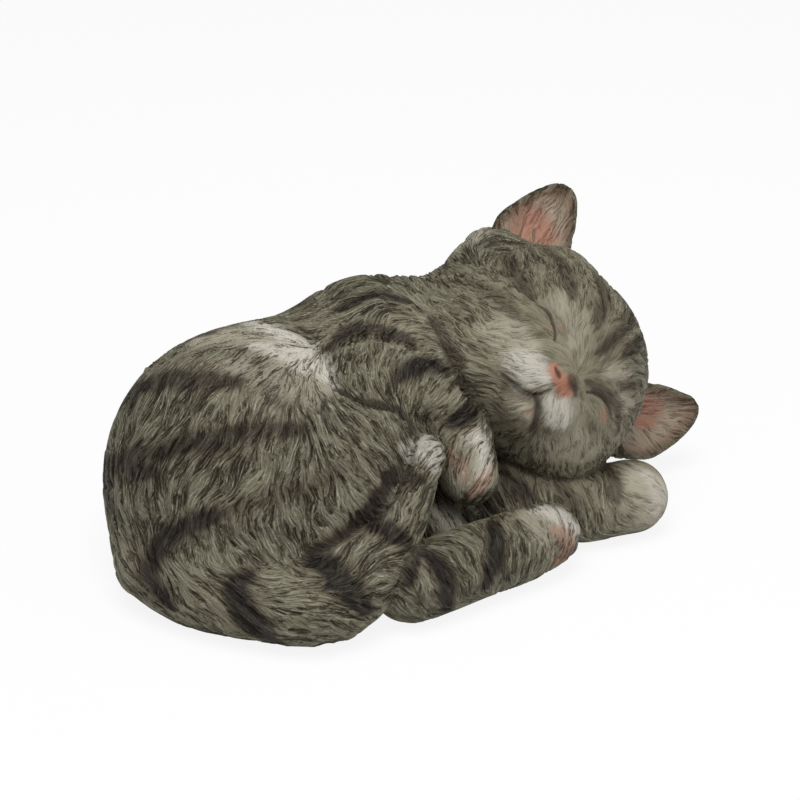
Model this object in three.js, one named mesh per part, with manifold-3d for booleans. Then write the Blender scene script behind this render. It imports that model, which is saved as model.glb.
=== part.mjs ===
// Sleeping tabby kitten, a cast resin ornament, curled on its left side. Millimetres, +Z up.
// +X points to the head end, -Y to the side that shows the face and the legs.
// The origin is the middle of the flat underside, on the ground.
import * as THREE from 'three';
import { mergeVertices } from 'three/addons/utils/BufferGeometryUtils.js';
import Module from 'manifold-3d';

const wasm = await Module();
wasm.setup();

// Fits
const GAP = 0.4;
const SPLIT_GAP = GAP / 2;
const RAY_STEP = 1.5;
const REFINE_STEPS = 14;
const FLOOR_DEPTH = 60;
const FLOOR_SIZE = 400;

// Body masses, each an ellipsoid with its middle and its three half sizes
const RUMP = { at: [-35.8, 8.5, 27], half: [42, 41, 47] };
const LOIN = { at: [-4, 18, 26], half: [42, 30, 42] };
const SHOULDERS = { at: [16, 25, 37.5], half: [24, 20, 35.5] };
const NECK = { at: [38, 14, 36], half: [22, 22, 36] };
const THIGH = { at: [-21, -11.5, 29], half: [38, 26, 31] };
const LAP = { at: [22, -12, 2], half: [15, 14, 11] };
const BODY_BLEND = 16;
const THIGH_BLEND = 10;
const NAPE_BLEND = 8;
const LAP_BLEND = 6;
const BODY_SPINE = [[-38, 8, 30], [-4, 14, 32], [30, 16, 36]];

// The hindquarter is cast apart and set into the body along this ellipsoid
const HAUNCH_SEAT = { at: [-24, -30, 28], half: [38, 24, 34] };
const HAUNCH_PIN = { radius: 3.5, rooted: 12, reach: 3, height: 22, apart: 28 };

// Limbs, each a row of balls: middle x, y, z and radius
const NAPE = [[46.5, 20, 55, 13.5], [52, 21.2, 66, 10.4], [57.4, 19.6, 73, 9.8]];
const TAIL = [
  [-66, 12, 17, 8.5], [-71, 2, 14, 11], [-66.5, -9.5, 12, 11.5], [-59.3, -21.8, 11.5, 11.5],
  [-50.8, -31.6, 11.5, 11.5], [-41.2, -39.8, 12, 12.2], [-31, -41.5, 13, 12.9], [-20.5, -39.5, 18, 11.4],
  [-10, -34.5, 23, 9.8], [-3.5, -30.5, 30, 9], [2.5, -26.5, 35.5, 8], [7.5, -25, 40, 6.3],
];
const HIND_FOOT = [
  [-2, -31, 8, 8.5], [-6, -38, 10, 9.8], [-9, -44.5, 11, 11.2], [0, -44.5, 11, 11.4],
  [14, -43.5, 11, 11.2], [29.5, -43, 11, 11], [40, -43.5, 12.3, 9.6],
];
const LEFT_FORELEG = [
  [26, -1, 13, 10], [34, -7.5, 13, 11], [40, -16, 12.5, 11], [47.5, -27, 11.5, 11],
  [58, -33.5, 11, 11], [69.5, -35.5, 11.2, 11.3], [74.5, -36.5, 11.2, 11.3],
];
const RIGHT_FORELEG = [
  [10, 25, 48, 15], [12.5, 19, 51, 17], [15.5, 6.5, 52, 16], [19, -3.5, 49, 13.5],
  [23, -10, 43, 11.8], [24.5, -16, 36, 10.5], [24.8, -20, 30, 9.6], [24.5, -22.5, 26.5, 9],
];
const LIMB_SAMPLES = 12;

// Head: its own axes are to the cat's left, out of the face, and up through the crown
const HEAD_AT = new THREE.Vector3(61.8, -5.7, 46);
const HEAD_LEFT = new THREE.Vector3(0.354, -0.467, -0.811).normalize();
const HEAD_FACE = new THREE.Vector3(-0.092, -0.88, 0.466).normalize();
const HEAD_CROWN = new THREE.Vector3().crossVectors(HEAD_FACE, HEAD_LEFT).normalize();
const SKULL = { at: [0, 0, 0], half: [33.5, 29, 31.8] };
const MUZZLE = { at: [0, 19, -12], half: [14, 14, 12] };
const CHIN = { at: [0, 19, -19], half: [9, 10, 7] };
const CHEEK = { at: [17, 10, -10], half: [15, 14, 15] };
const JOWL = { at: [-14, 2, -18], half: [18, 18, 16] };
const CREST = { at: [-20, -3, 19.5], half: [12, 12, 11.5] };
const FACE_BLEND = 8;
const CHIN_BLEND = 5;
const CREST_BLEND = 7;
const HEAD_WALL = 7;

// Hollow spigot of the head, along the line from the head's middle to the neck
const NECK_MOUTH = [34, 16, 30];
const SPIGOT = { radius: 9, bore: 5.5, reach: 41, endGap: 1 };

// Ears: both rims as on the left side in head axes, and how much higher and further in the right one sits
const LEFT_EAR_RIM = [
  [24.8, -4, 24.5], [28.4, -5, 30.2], [33.8, -6, 35], [39.4, -7, 38.8], [43.8, -8, 39.2], [47, -9, 36.2],
  [48.8, -10, 30.5], [48.9, -10, 23.5], [47.6, -10, 16], [42, -8, 9.5], [36, -5, 8.5], [31, -1, 12.5], [27, 0, 17.5],
];
const RIGHT_EAR_RIM = [
  [25.9, -4, 23.2], [29.4, -5, 28.8], [34.2, -6, 34.6], [39.4, -7, 38.8], [43.8, -8, 39.2], [47, -9, 36.2],
  [48.8, -10, 30.5], [49.7, -10, 22.8], [49.4, -10, 14], [44.6, -8, 6.4], [38, -5, 6], [32.4, -1, 10.8],
  [28, 0, 16],
];
const EAR_BASE = [30.5, -4, 14];
const EAR_ACROSS = new THREE.Vector3(12.7, -3, -14).normalize();
const EAR_UP = new THREE.Vector3(16, -4.5, 15.5).normalize();
const EAR_HEIGHT = 27;
const EAR_ROOT = { width: 0.85, sink: 4, backSink: 6, front: 2, depth: 14 };
const EAR_BOWL = { up: 10.5, back: 6.5 };
const EAR_RIM_THICKNESS = 1.5;
const EAR_BULGE = 4;
const EAR_SIDE_BULGE = 1.4;
const EAR_CUP = 1.5;
const RIGHT_EAR_LIFT = 3;
const RIGHT_EAR_INWARD = 4.8;

// Hollow of the body: it keeps this wall from the skin and from all that is set into the body
const BODY_WALL = 9;
const HOLLOW_SPINE = [[-42, 14, 22], [-20, 18, 22], [4, 24, 17], [30, 20, 26]];

// Base plate, held in a rebate of the opening below the hollow, and the vent in it
const BASE = { at: [-33, 16], half: [23.5, 18], thickness: 4, ledge: 4 };
const VENT = { radius: 5, flangeRadius: 8, flangeThickness: 1.5, plugLength: 5, raised: 0.2, chamfer: 0.8 };

// How finely the surfaces are cut into facets, and the share of a grid's rows in each end cap
const BODY_GRID = { columns: 32, rows: 30, cap: 0.3 };
const HEAD_GRID = { columns: 32, rows: 24, cap: 0.46, spine: 4 };
const HEAD_HOLLOW_GRID = { columns: 18, rows: 12, cap: 0.46, spine: 2 };
const HOLLOW_GRID = { columns: 20, rows: 18, cap: 0.25 };
const TAIL_GRID = { columns: 14, rows: 28, cap: 0.16 };
const LEG_GRID = { columns: 16, rows: 18, cap: 0.16 };
const SEAT_GRID = { columns: 24, rows: 16 };
const EAR_GRID = { columns: 22, outerRows: 5, innerRows: 4 };
const ROUND_SEGMENTS = 28;

// Paints, as seen
const PAINTS = {
  fur: { color: 0x6e6857, roughness: 0.6 },
  furDark: { color: 0x5f5a4c, roughness: 0.6 },
  face: { color: 0x857c6b, roughness: 0.58 },
  paw: { color: 0x8c8370, roughness: 0.58 },
  ear: { color: 0x8d7464, roughness: 0.58 },
  base: { color: 0x5a4a3e, roughness: 0.7 },
  rubber: { color: 0x1c1b1a, roughness: 0.85 },
};

// Distance to an ellipsoid, below zero inside it
function ellipsoid(at, half) {
  return (x, y, z) => {
    const a = x - at[0];
    const b = y - at[1];
    const c = z - at[2];
    const near = Math.hypot(a / half[0], b / half[1], c / half[2]);
    const slope = Math.hypot(a / half[0] ** 2, b / half[1] ** 2, c / half[2] ** 2);
    return (near * (near - 1)) / Math.max(slope, 1e-9);
  };
}

// The nearer of two distances, rounded where they are within the blend
function blend(first, second, width) {
  const share = Math.max(width - Math.abs(first - second), 0) / width;
  return Math.min(first, second) - (share * share * width) / 4;
}

// A smooth row of balls through the given ones
function rowOfBalls(points) {
  const path = new THREE.CatmullRomCurve3(
    points.map(([x, y, z]) => new THREE.Vector3(x, y, z)), false, 'catmullrom', 0.5);
  const radii = new THREE.SplineCurve(points.map((ball, index) => new THREE.Vector2(index, ball[3])));
  const row = [];
  for (let step = 0; step < LIMB_SAMPLES; step += 1) {
    const t = step / (LIMB_SAMPLES - 1);
    row.push({ at: path.getPoint(t), radius: radii.getPoint(t).y });
  }
  return row;
}

// Distance to the skin stretched over a row of balls
function limb(points) {
  const row = rowOfBalls(points);
  return (x, y, z) => {
    let nearest = Infinity;
    for (let step = 1; step < row.length; step += 1) {
      const from = row[step - 1];
      const to = row[step];
      const ax = to.at.x - from.at.x;
      const ay = to.at.y - from.at.y;
      const az = to.at.z - from.at.z;
      const px = x - from.at.x;
      const py = y - from.at.y;
      const pz = z - from.at.z;
      const along = (px * ax + py * ay + pz * az) / (ax * ax + ay * ay + az * az);
      const share = Math.min(Math.max(along, 0), 1);
      const away = Math.hypot(px - share * ax, py - share * ay, pz - share * az);
      nearest = Math.min(nearest, away - from.radius - (to.radius - from.radius) * share);
    }
    return nearest;
  };
}

// Head axes to model axes
function fromHead([left, out, up]) {
  return HEAD_AT.clone()
    .addScaledVector(HEAD_LEFT, left)
    .addScaledVector(HEAD_FACE, out)
    .addScaledVector(HEAD_CROWN, up);
}

function bodyField() {
  const rump = ellipsoid(RUMP.at, RUMP.half);
  const loin = ellipsoid(LOIN.at, LOIN.half);
  const shoulders = ellipsoid(SHOULDERS.at, SHOULDERS.half);
  const neck = ellipsoid(NECK.at, NECK.half);
  const nape = limb(NAPE);
  const thigh = ellipsoid(THIGH.at, THIGH.half);
  const lap = ellipsoid(LAP.at, LAP.half);
  return (x, y, z) => {
    let near = blend(rump(x, y, z), loin(x, y, z), BODY_BLEND);
    near = blend(near, shoulders(x, y, z), BODY_BLEND);
    near = blend(near, neck(x, y, z), BODY_BLEND);
    near = blend(near, nape(x, y, z), NAPE_BLEND);
    near = blend(near, thigh(x, y, z), THIGH_BLEND);
    return blend(near, lap(x, y, z), LAP_BLEND);
  };
}

function headField() {
  const skull = ellipsoid(SKULL.at, SKULL.half);
  const muzzle = ellipsoid(MUZZLE.at, MUZZLE.half);
  const chin = ellipsoid(CHIN.at, CHIN.half);
  const leftCheek = ellipsoid(CHEEK.at, CHEEK.half);
  const rightCheek = ellipsoid([-CHEEK.at[0], CHEEK.at[1], CHEEK.at[2]], CHEEK.half);
  const jowl = ellipsoid(JOWL.at, JOWL.half);
  const crest = ellipsoid(CREST.at, CREST.half);
  const place = new THREE.Vector3();
  return (x, y, z) => {
    place.set(x, y, z).sub(HEAD_AT);
    const left = place.dot(HEAD_LEFT);
    const out = place.dot(HEAD_FACE);
    const up = place.dot(HEAD_CROWN);
    let near = blend(skull(left, out, up), muzzle(left, out, up), FACE_BLEND);
    near = blend(near, chin(left, out, up), CHIN_BLEND);
    near = blend(near, leftCheek(left, out, up), FACE_BLEND);
    near = blend(near, rightCheek(left, out, up), FACE_BLEND);
    near = blend(near, jowl(left, out, up), FACE_BLEND);
    return blend(near, crest(left, out, up), CREST_BLEND);
  };
}

// A closed geometry as a solid
function solidOf(geometry) {
  const bare = geometry.clone();
  bare.deleteAttribute('normal');
  bare.deleteAttribute('uv');
  const merged = mergeVertices(bare, 1e-4);
  const mesh = new wasm.Mesh({
    numProp: 3,
    vertProperties: Float32Array.from(merged.attributes.position.array),
    triVerts: Uint32Array.from(merged.index.array),
  });
  return new wasm.Manifold(mesh);
}

// How far a ray runs from a point inside until the field rises to the offset
function reachOf(field, from, way, offset) {
  const at = (far) => field(from.x + way.x * far, from.y + way.y * far, from.z + way.z * far) - offset;
  let inside = 0;
  let outside = RAY_STEP;
  while (at(outside) < 0) {
    inside = outside;
    outside += RAY_STEP;
  }
  for (let step = 0; step < REFINE_STEPS; step += 1) {
    const middle = (inside + outside) / 2;
    if (at(middle) < 0) {
      inside = middle;
    } else {
      outside = middle;
    }
  }
  return (inside + outside) / 2;
}

// A sphere's grid stretched along a spine and pushed out to where the field equals the offset
function sculpt(field, spinePoints, { columns, rows, cap }, offset = 0) {
  const spine = new THREE.CatmullRomCurve3(
    spinePoints.map(([x, y, z]) => new THREE.Vector3(x, y, z)), false, 'catmullrom', 0.5);
  const grid = new THREE.SphereGeometry(1, columns, rows);
  const { position, uv } = grid.attributes;
  for (let vertex = 0; vertex < position.count; vertex += 1) {
    const share = uv.getY(vertex);
    const isPole = share === 0 || share === 1;
    const turn = Math.PI * (1 - 2 * (uv.getX(vertex) % 1));
    const along = THREE.MathUtils.clamp((share - cap) / (1 - 2 * cap), 0, 1);
    const before = Math.max(cap - share, 0);
    const after = Math.max(share - 1 + cap, 0);
    const tilt = ((after - before) / cap) * (Math.PI / 2);
    const from = spine.getPoint(along);
    const tangent = spine.getTangent(along);
    const side = new THREE.Vector3(0, 0, 1).cross(tangent).normalize();
    const other = new THREE.Vector3().crossVectors(side, tangent);
    const ringSize = isPole ? 0 : Math.cos(tilt);
    const way = new THREE.Vector3()
      .addScaledVector(side, Math.cos(turn) * ringSize)
      .addScaledVector(other, Math.sin(turn) * ringSize)
      .addScaledVector(tangent, Math.sin(tilt));
    const far = reachOf(field, from, way, offset);
    position.setXYZ(vertex, from.x + way.x * far, from.y + way.y * far, from.z + way.z * far);
  }
  return solidOf(grid);
}

function mass({ at, half }, { columns, rows }, offset = 0) {
  const egg = new THREE.SphereGeometry(1, columns, rows);
  egg.scale(half[0] + offset, half[1] + offset, half[2] + offset);
  egg.translate(...at);
  return solidOf(egg);
}

// A round bar between two points
function bar(from, to, radius) {
  const start = new THREE.Vector3(...from);
  const end = new THREE.Vector3(...to);
  const rod = new THREE.CylinderGeometry(radius, radius, start.distanceTo(end), ROUND_SEGMENTS);
  const way = new THREE.Vector3().subVectors(end, start).normalize();
  rod.applyQuaternion(new THREE.Quaternion().setFromUnitVectors(new THREE.Vector3(0, 1, 0), way));
  const middle = start.add(end).multiplyScalar(0.5);
  rod.translate(middle.x, middle.y, middle.z);
  return solidOf(rod);
}

function floorBlock() {
  const block = new THREE.BoxGeometry(FLOOR_SIZE, FLOOR_SIZE, FLOOR_DEPTH);
  block.translate(0, 0, -FLOOR_DEPTH / 2);
  return solidOf(block);
}

// An ear as a cup: root inside the head, up the back to the rim, over it and down into the bowl.
// With an offset it is the larger plug that cuts its seat, and the bowl is filled.
function ear(side, offset = 0) {
  const lift = side < 0 ? RIGHT_EAR_LIFT : 0;
  const inward = side < 0 ? RIGHT_EAR_INWARD : 0;
  const place = ([left, out, up]) => new THREE.Vector3(side * (left - inward), out, up + lift);
  const mirror = ({ x, y, z }) => new THREE.Vector3(side * x, y, z);
  const rimPoints = side < 0 ? RIGHT_EAR_RIM : LEFT_EAR_RIM;
  const rim = new THREE.CatmullRomCurve3(rimPoints.map(place), true, 'catmullrom', 0.5);
  const count = EAR_GRID.columns;
  const edges = Array.from({ length: count }, (_, column) => rim.getPoint(column / count));
  const heart = edges.reduce((sum, edge) => sum.addScaledVector(edge, 1 / count), new THREE.Vector3());
  const base = place(EAR_BASE);
  const across = mirror(EAR_ACROSS);
  const up = mirror(EAR_UP);
  const inEar = (width, height, depth) => base.clone()
    .addScaledVector(across, width)
    .addScaledVector(up, height)
    .add(new THREE.Vector3(0, -depth, 0));
  const rootPoint = (edge) => {
    const away = edge.clone().sub(base);
    const share = away.dot(up) / EAR_HEIGHT;
    return inEar(away.dot(across) * EAR_ROOT.width, -EAR_ROOT.sink - EAR_ROOT.backSink * share,
      EAR_ROOT.front + EAR_ROOT.depth * share);
  };
  const rows = [];
  for (let row = 0; row <= EAR_GRID.outerRows; row += 1) {
    const share = row / EAR_GRID.outerRows;
    const swell = Math.sin(Math.PI * share);
    rows.push(edges.map((edge) => {
      const outward = new THREE.Vector3().subVectors(edge, heart).setY(0).normalize();
      const back = Math.max(edge.clone().sub(base).dot(up) / EAR_HEIGHT, 0);
      return rootPoint(edge).lerp(edge, share)
        .addScaledVector(outward, swell * EAR_SIDE_BULGE)
        .add(new THREE.Vector3(0, -swell * back * EAR_BULGE, 0));
    }));
  }
  const isSeat = offset > 0;
  const bowl = isSeat ? heart.clone() : inEar(0, EAR_BOWL.up, EAR_BOWL.back);
  const cup = isSeat ? 0 : EAR_CUP;
  for (let row = 0; row < EAR_GRID.innerRows; row += 1) {
    const share = row / EAR_GRID.innerRows;
    rows.push(edges.map((edge) => {
      const inwardWay = new THREE.Vector3().subVectors(heart, edge).setY(0).normalize();
      return edge.clone()
        .addScaledVector(inwardWay, EAR_RIM_THICKNESS)
        .lerp(bowl, share)
        .add(new THREE.Vector3(0, -Math.sin(Math.PI * share) * cup, 0));
    }));
  }
  const rootMiddle = inEar(0, -EAR_ROOT.sink - EAR_ROOT.backSink / 2, EAR_ROOT.front + EAR_ROOT.depth / 2);
  return closeRows(rows, rootMiddle, bowl, side, offset);
}

// Rings of points joined into a closed skin, with one point at each end, grown by the offset
function closeRows(rows, firstEnd, lastEnd, side, offset) {
  const points = [];
  const faces = [];
  const width = rows[0].length;
  for (const ring of rows) {
    for (const point of ring) {
      points.push(fromHead(point.toArray()));
    }
  }
  const first = points.push(fromHead(firstEnd.toArray())) - 1;
  const last = points.push(fromHead(lastEnd.toArray())) - 1;
  const add = (a, b, c) => faces.push(...(side > 0 ? [a, c, b] : [a, b, c]));
  for (let row = 0; row + 1 < rows.length; row += 1) {
    for (let column = 0; column < width; column += 1) {
      const next = (column + 1) % width;
      add(row * width + column, row * width + next, (row + 1) * width + next);
      add(row * width + column, (row + 1) * width + next, (row + 1) * width + column);
    }
  }
  for (let column = 0; column < width; column += 1) {
    const next = (column + 1) % width;
    add(first, next, column);
    add(last, (rows.length - 1) * width + column, (rows.length - 1) * width + next);
  }
  const geometry = new THREE.BufferGeometry();
  geometry.setAttribute('position', new THREE.Float32BufferAttribute(points.flatMap((p) => p.toArray()), 3));
  geometry.setIndex(faces);
  geometry.computeVertexNormals();
  const { position, normal } = geometry.attributes;
  for (let vertex = 0; vertex < position.count; vertex += 1) {
    position.setXYZ(vertex,
      position.getX(vertex) + normal.getX(vertex) * offset,
      position.getY(vertex) + normal.getY(vertex) * offset,
      position.getZ(vertex) + normal.getZ(vertex) * offset);
  }
  return solidOf(geometry);
}

// Flat oval slab standing on a height
function ovalSlab(at, half, bottom, thickness) {
  const outline = new THREE.Shape();
  outline.absellipse(at[0], at[1], half[0], half[1], 0, Math.PI * 2, false, 0);
  const slab = new THREE.ExtrudeGeometry(outline, {
    depth: thickness, bevelEnabled: false, curveSegments: ROUND_SEGMENTS,
  });
  slab.translate(0, 0, bottom);
  return solidOf(slab);
}

// A cut can leave loose slivers beside the piece itself: only the largest body is kept
function mainBody(solid) {
  return solid.decompose().reduce((best, body) => (body.volume() > best.volume() ? body : best));
}

function meshOf(name, solid, paint) {
  const { numProp, vertProperties, triVerts } = mainBody(solid).getMesh();
  const positions = [];
  for (let vertex = 0; vertex < vertProperties.length; vertex += numProp) {
    positions.push(vertProperties[vertex], vertProperties[vertex + 1], vertProperties[vertex + 2]);
  }
  const geometry = new THREE.BufferGeometry();
  geometry.setAttribute('position', new THREE.Float32BufferAttribute(positions, 3));
  geometry.setIndex(Array.from(triVerts));
  geometry.computeVertexNormals();
  const material = new THREE.MeshStandardMaterial({ ...PAINTS[paint], metalness: 0 });
  const mesh = new THREE.Mesh(geometry, material);
  mesh.name = name;
  return mesh;
}

const floor = floorBlock();
const tailField = limb(TAIL);
const footField = limb(HIND_FOOT);
const leftForelegField = limb(LEFT_FORELEG);
const rightForelegField = limb(RIGHT_FORELEG);
const bodySkin = sculpt(bodyField(), BODY_SPINE, BODY_GRID).subtract(floor);
const headSkin = (offset) => sculpt(headField(), headSpine(HEAD_GRID), HEAD_GRID, offset);
const tailSkin = (offset) => sculpt(tailField, TAIL, TAIL_GRID, offset);
const footSkin = (offset) => sculpt(footField, HIND_FOOT, LEG_GRID, offset);
const leftForelegSkin = (offset) => sculpt(leftForelegField, LEFT_FORELEG, LEG_GRID, offset);
const rightForelegSkin = (offset) => sculpt(rightForelegField, RIGHT_FORELEG, LEG_GRID, offset);
const haunchSeat = (offset) => mass(HAUNCH_SEAT, SEAT_GRID, offset);

const headAt = HEAD_AT.toArray();
const neckWay = new THREE.Vector3(...NECK_MOUTH).sub(HEAD_AT).normalize();
const spigotEnd = HEAD_AT.clone().addScaledVector(neckWay, SPIGOT.reach).toArray();
const socketEnd = HEAD_AT.clone().addScaledVector(neckWay, SPIGOT.reach + SPIGOT.endGap).toArray();

function headSpine({ spine }) {
  return [fromHead([-spine, 0, 0]).toArray(), fromHead([spine, 0, 0]).toArray()];
}

// The two pins that hold the hindquarter, from inside it to beyond its seat
function haunchPins(grow) {
  const face = HAUNCH_SEAT.at[1] + HAUNCH_SEAT.half[1];
  const pinAt = (side) => {
    const x = HAUNCH_SEAT.at[0] + (side * HAUNCH_PIN.apart) / 2;
    return bar([x, face - HAUNCH_PIN.rooted, HAUNCH_PIN.height],
      [x, face + HAUNCH_PIN.reach + grow, HAUNCH_PIN.height], HAUNCH_PIN.radius + grow);
  };
  return pinAt(-1).add(pinAt(1));
}

function rightHaunch() {
  return bodySkin
    .intersect(haunchSeat(-SPLIT_GAP))
    .add(haunchPins(0))
    .subtract(tailSkin(GAP))
    .subtract(footSkin(GAP))
    .subtract(rightForelegSkin(GAP).intersect(haunchSeat(SPLIT_GAP)));
}

// The hollow, a wall away from the skin, from the pieces set into it and from the base plate
function bodyHollow() {
  const skin = bodyField();
  const head = headField();
  const seat = ellipsoid(HAUNCH_SEAT.at, HAUNCH_SEAT.half);
  const floorOfHollow = BASE.thickness + BODY_WALL;
  return sculpt((x, y, z) => {
    const nearest = Math.min(seat(x, y, z), head(x, y, z), tailField(x, y, z), footField(x, y, z),
      leftForelegField(x, y, z), rightForelegField(x, y, z));
    return Math.max(skin(x, y, z) + BODY_WALL, BODY_WALL - nearest, floorOfHollow - z);
  }, HOLLOW_SPINE, HOLLOW_GRID);
}

function torsoShell() {
  const opening = BASE.half.map((size) => size - BASE.ledge);
  const rebate = BASE.half.map((size) => size + GAP);
  return bodySkin
    .subtract(haunchSeat(SPLIT_GAP))
    .subtract(haunchPins(GAP))
    .subtract(headSkin(GAP))
    .subtract(ear(-1, GAP))
    .subtract(tailSkin(GAP))
    .subtract(footSkin(GAP))
    .subtract(rightForelegSkin(GAP))
    .subtract(leftForelegSkin(GAP))
    .subtract(bar(headAt, socketEnd, SPIGOT.radius + GAP))
    .subtract(bodyHollow())
    .subtract(ovalSlab(BASE.at, opening, 0, BASE.thickness + 2 * BODY_WALL))
    .subtract(ovalSlab(BASE.at, rebate, -BASE.thickness, 2 * BASE.thickness + GAP));
}

function headShell() {
  const hollow = ellipsoid(SKULL.at, SKULL.half.map((size) => size - HEAD_WALL));
  const inside = sculpt((x, y, z) => {
    const place = new THREE.Vector3(x, y, z).sub(HEAD_AT);
    return hollow(place.dot(HEAD_LEFT), place.dot(HEAD_FACE), place.dot(HEAD_CROWN));
  }, headSpine(HEAD_HOLLOW_GRID), HEAD_HOLLOW_GRID);
  return headSkin(0)
    .add(bar(headAt, spigotEnd, SPIGOT.radius))
    .subtract(inside)
    .subtract(bar(headAt, socketEnd, SPIGOT.bore))
    .subtract(ear(-1, GAP))
    .subtract(ear(1, GAP));
}

function basePlate() {
  const below = [...BASE.at, -BASE.thickness];
  const vent = bar(below, [...BASE.at, 2 * BASE.thickness], VENT.radius + GAP);
  const recess = bar(below, [...BASE.at, VENT.flangeThickness + GAP], VENT.flangeRadius + GAP);
  return ovalSlab(BASE.at, BASE.half, 0, BASE.thickness).subtract(vent).subtract(recess);
}

function ventPlug() {
  const profile = [
    [0, VENT.raised], [VENT.flangeRadius, VENT.raised],
    [VENT.flangeRadius, VENT.flangeThickness], [VENT.radius, VENT.flangeThickness],
    [VENT.radius, VENT.plugLength - VENT.chamfer], [VENT.radius - VENT.chamfer, VENT.plugLength],
    [0, VENT.plugLength],
  ].map(([radius, height]) => new THREE.Vector2(radius, height));
  const plug = new THREE.LatheGeometry(profile, ROUND_SEGMENTS);
  plug.rotateX(Math.PI / 2);
  plug.translate(BASE.at[0], BASE.at[1], 0);
  return solidOf(plug);
}

const group = new THREE.Group();
group.add(meshOf('torso_shell', torsoShell(), 'fur'));
group.add(meshOf('right_haunch', rightHaunch(), 'fur'));
group.add(meshOf('tail', tailSkin(0).subtract(floor), 'furDark'));
group.add(meshOf('right_hind_foot', footSkin(0).subtract(tailSkin(GAP)).subtract(floor), 'paw'));
group.add(meshOf('left_foreleg',
  leftForelegSkin(0).subtract(headSkin(GAP)).subtract(rightForelegSkin(GAP)).subtract(footSkin(GAP))
    .subtract(floor), 'paw'));
group.add(meshOf('right_foreleg', rightForelegSkin(0).subtract(headSkin(GAP)), 'fur'));
group.add(meshOf('head_shell', headShell(), 'face'));
group.add(meshOf('right_ear', ear(-1), 'ear'));
group.add(meshOf('left_ear', ear(1), 'ear'));
group.add(meshOf('base_plate', basePlate(), 'base'));
group.add(meshOf('vent_plug', ventPlug(), 'rubber'));

export default group;
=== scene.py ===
"""Sleeping kitten ornament: the carved and painted skins that dress its cast resin pieces."""
import math
from functools import lru_cache

import bpy
import numpy as np
from bpy.props import FloatProperty, FloatVectorProperty, PointerProperty
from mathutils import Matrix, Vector


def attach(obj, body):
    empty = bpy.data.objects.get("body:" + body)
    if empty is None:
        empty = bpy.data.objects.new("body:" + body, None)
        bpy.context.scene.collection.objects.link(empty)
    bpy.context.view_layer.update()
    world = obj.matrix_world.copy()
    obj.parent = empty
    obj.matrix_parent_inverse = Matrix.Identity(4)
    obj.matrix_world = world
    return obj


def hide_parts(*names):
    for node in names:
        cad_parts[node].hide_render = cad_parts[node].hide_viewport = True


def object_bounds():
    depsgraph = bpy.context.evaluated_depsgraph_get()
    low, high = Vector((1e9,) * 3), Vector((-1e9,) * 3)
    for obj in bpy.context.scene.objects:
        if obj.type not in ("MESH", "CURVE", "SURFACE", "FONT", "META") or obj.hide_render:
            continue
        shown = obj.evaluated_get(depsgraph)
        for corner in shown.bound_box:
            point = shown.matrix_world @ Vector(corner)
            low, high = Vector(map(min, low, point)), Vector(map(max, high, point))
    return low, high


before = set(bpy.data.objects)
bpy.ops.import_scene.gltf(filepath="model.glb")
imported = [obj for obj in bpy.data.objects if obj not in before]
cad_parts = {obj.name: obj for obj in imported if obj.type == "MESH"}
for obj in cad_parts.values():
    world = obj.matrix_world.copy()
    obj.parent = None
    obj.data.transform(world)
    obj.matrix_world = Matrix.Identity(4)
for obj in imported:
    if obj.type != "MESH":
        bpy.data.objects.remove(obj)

bl_info = {
    "name": "Sleeping Kitten Ornament",
    "version": (1, 0, 0),
    "blender": (4, 5, 0),
    "location": "3D View > Sidebar > Kitten",
    "description": "Carved fur skins and hand paint for a curled sleeping kitten",
    "category": "Add Mesh",
}

CAD_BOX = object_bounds()
MM = 0.001


def srgb(red, green, blue):
    """A paint colour read from 0 to 255 as the linear values that Blender keeps, by the sRGB curve."""
    return tuple(part / 3294.6 if part <= 10 else ((part / 255 + 0.055) / 1.055) ** 2.4
                 for part in (red, green, blue))


# Body masses, each the middle and the half sizes of an ellipsoid, in millimetres
RUMP = ((-35.8, 8.5, 27), (42, 41, 47))
LOIN = ((-4, 18, 26), (42, 30, 42))
SHOULDERS = ((16, 25, 37.5), (24, 20, 35.5))
NECK = ((38, 14, 36), (22, 22, 36))
THIGH = ((-21, -11.5, 29), (38, 26, 31))
LAP = ((22, -15, 3), (18, 18, 14))
BODY_BLEND, THIGH_BLEND, NAPE_BLEND, LAP_BLEND = 16, 10, 8, 6
REAR_SPINE = ((-38, 8, 30), (-3, 13.5, 32))
FRONT_SPINE = ((3, 14, 32.5), (30, 16, 36))
WAIST = 0.0
HAUNCH_SEAT = ((-24, -30, 28), (38, 24, 34))
HAUNCH_SPINE = ((-36, -14, 30), (-10, -14, 30))

# Limbs, each a row of balls: middle and radius
NAPE_CONES = 6
NAPE = ((46.5, 20, 55, 13.5), (52.9, 22.8, 65, 10.4), (58.9, 22.2, 71.3, 9.8))
TAIL = ((-66, 12, 17, 8.5), (-71, 2, 14, 11), (-66.5, -9.5, 12, 11.5), (-59.3, -21.8, 11.5, 11.5),
        (-50.8, -31.6, 11.5, 11.5), (-41.2, -39.8, 12, 12.2), (-31, -41.5, 13, 12.9),
        (-20.5, -39.5, 18, 11.4), (-10, -34.5, 23, 9.8), (-3.5, -30.5, 30, 9), (2.5, -26.5, 35.5, 8),
        (7.5, -25, 40, 6.3))
HIND_FOOT = ((-2, -31, 8, 8.5), (-6, -38, 10, 9.8), (-9, -44.5, 11, 11.2), (0, -44.5, 11, 11.4),
             (14, -43.5, 11, 11.2), (29.5, -43, 11, 11), (40, -43.5, 12.3, 9.6))
LEFT_FORELEG = ((26, -1, 13, 10), (34, -7.5, 13, 11), (40, -16, 12.5, 11), (47.5, -27, 11.5, 11),
                (58, -33.5, 11, 11), (69.5, -35.5, 11.2, 11.3), (74.5, -36.5, 11.2, 11.3))
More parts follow.
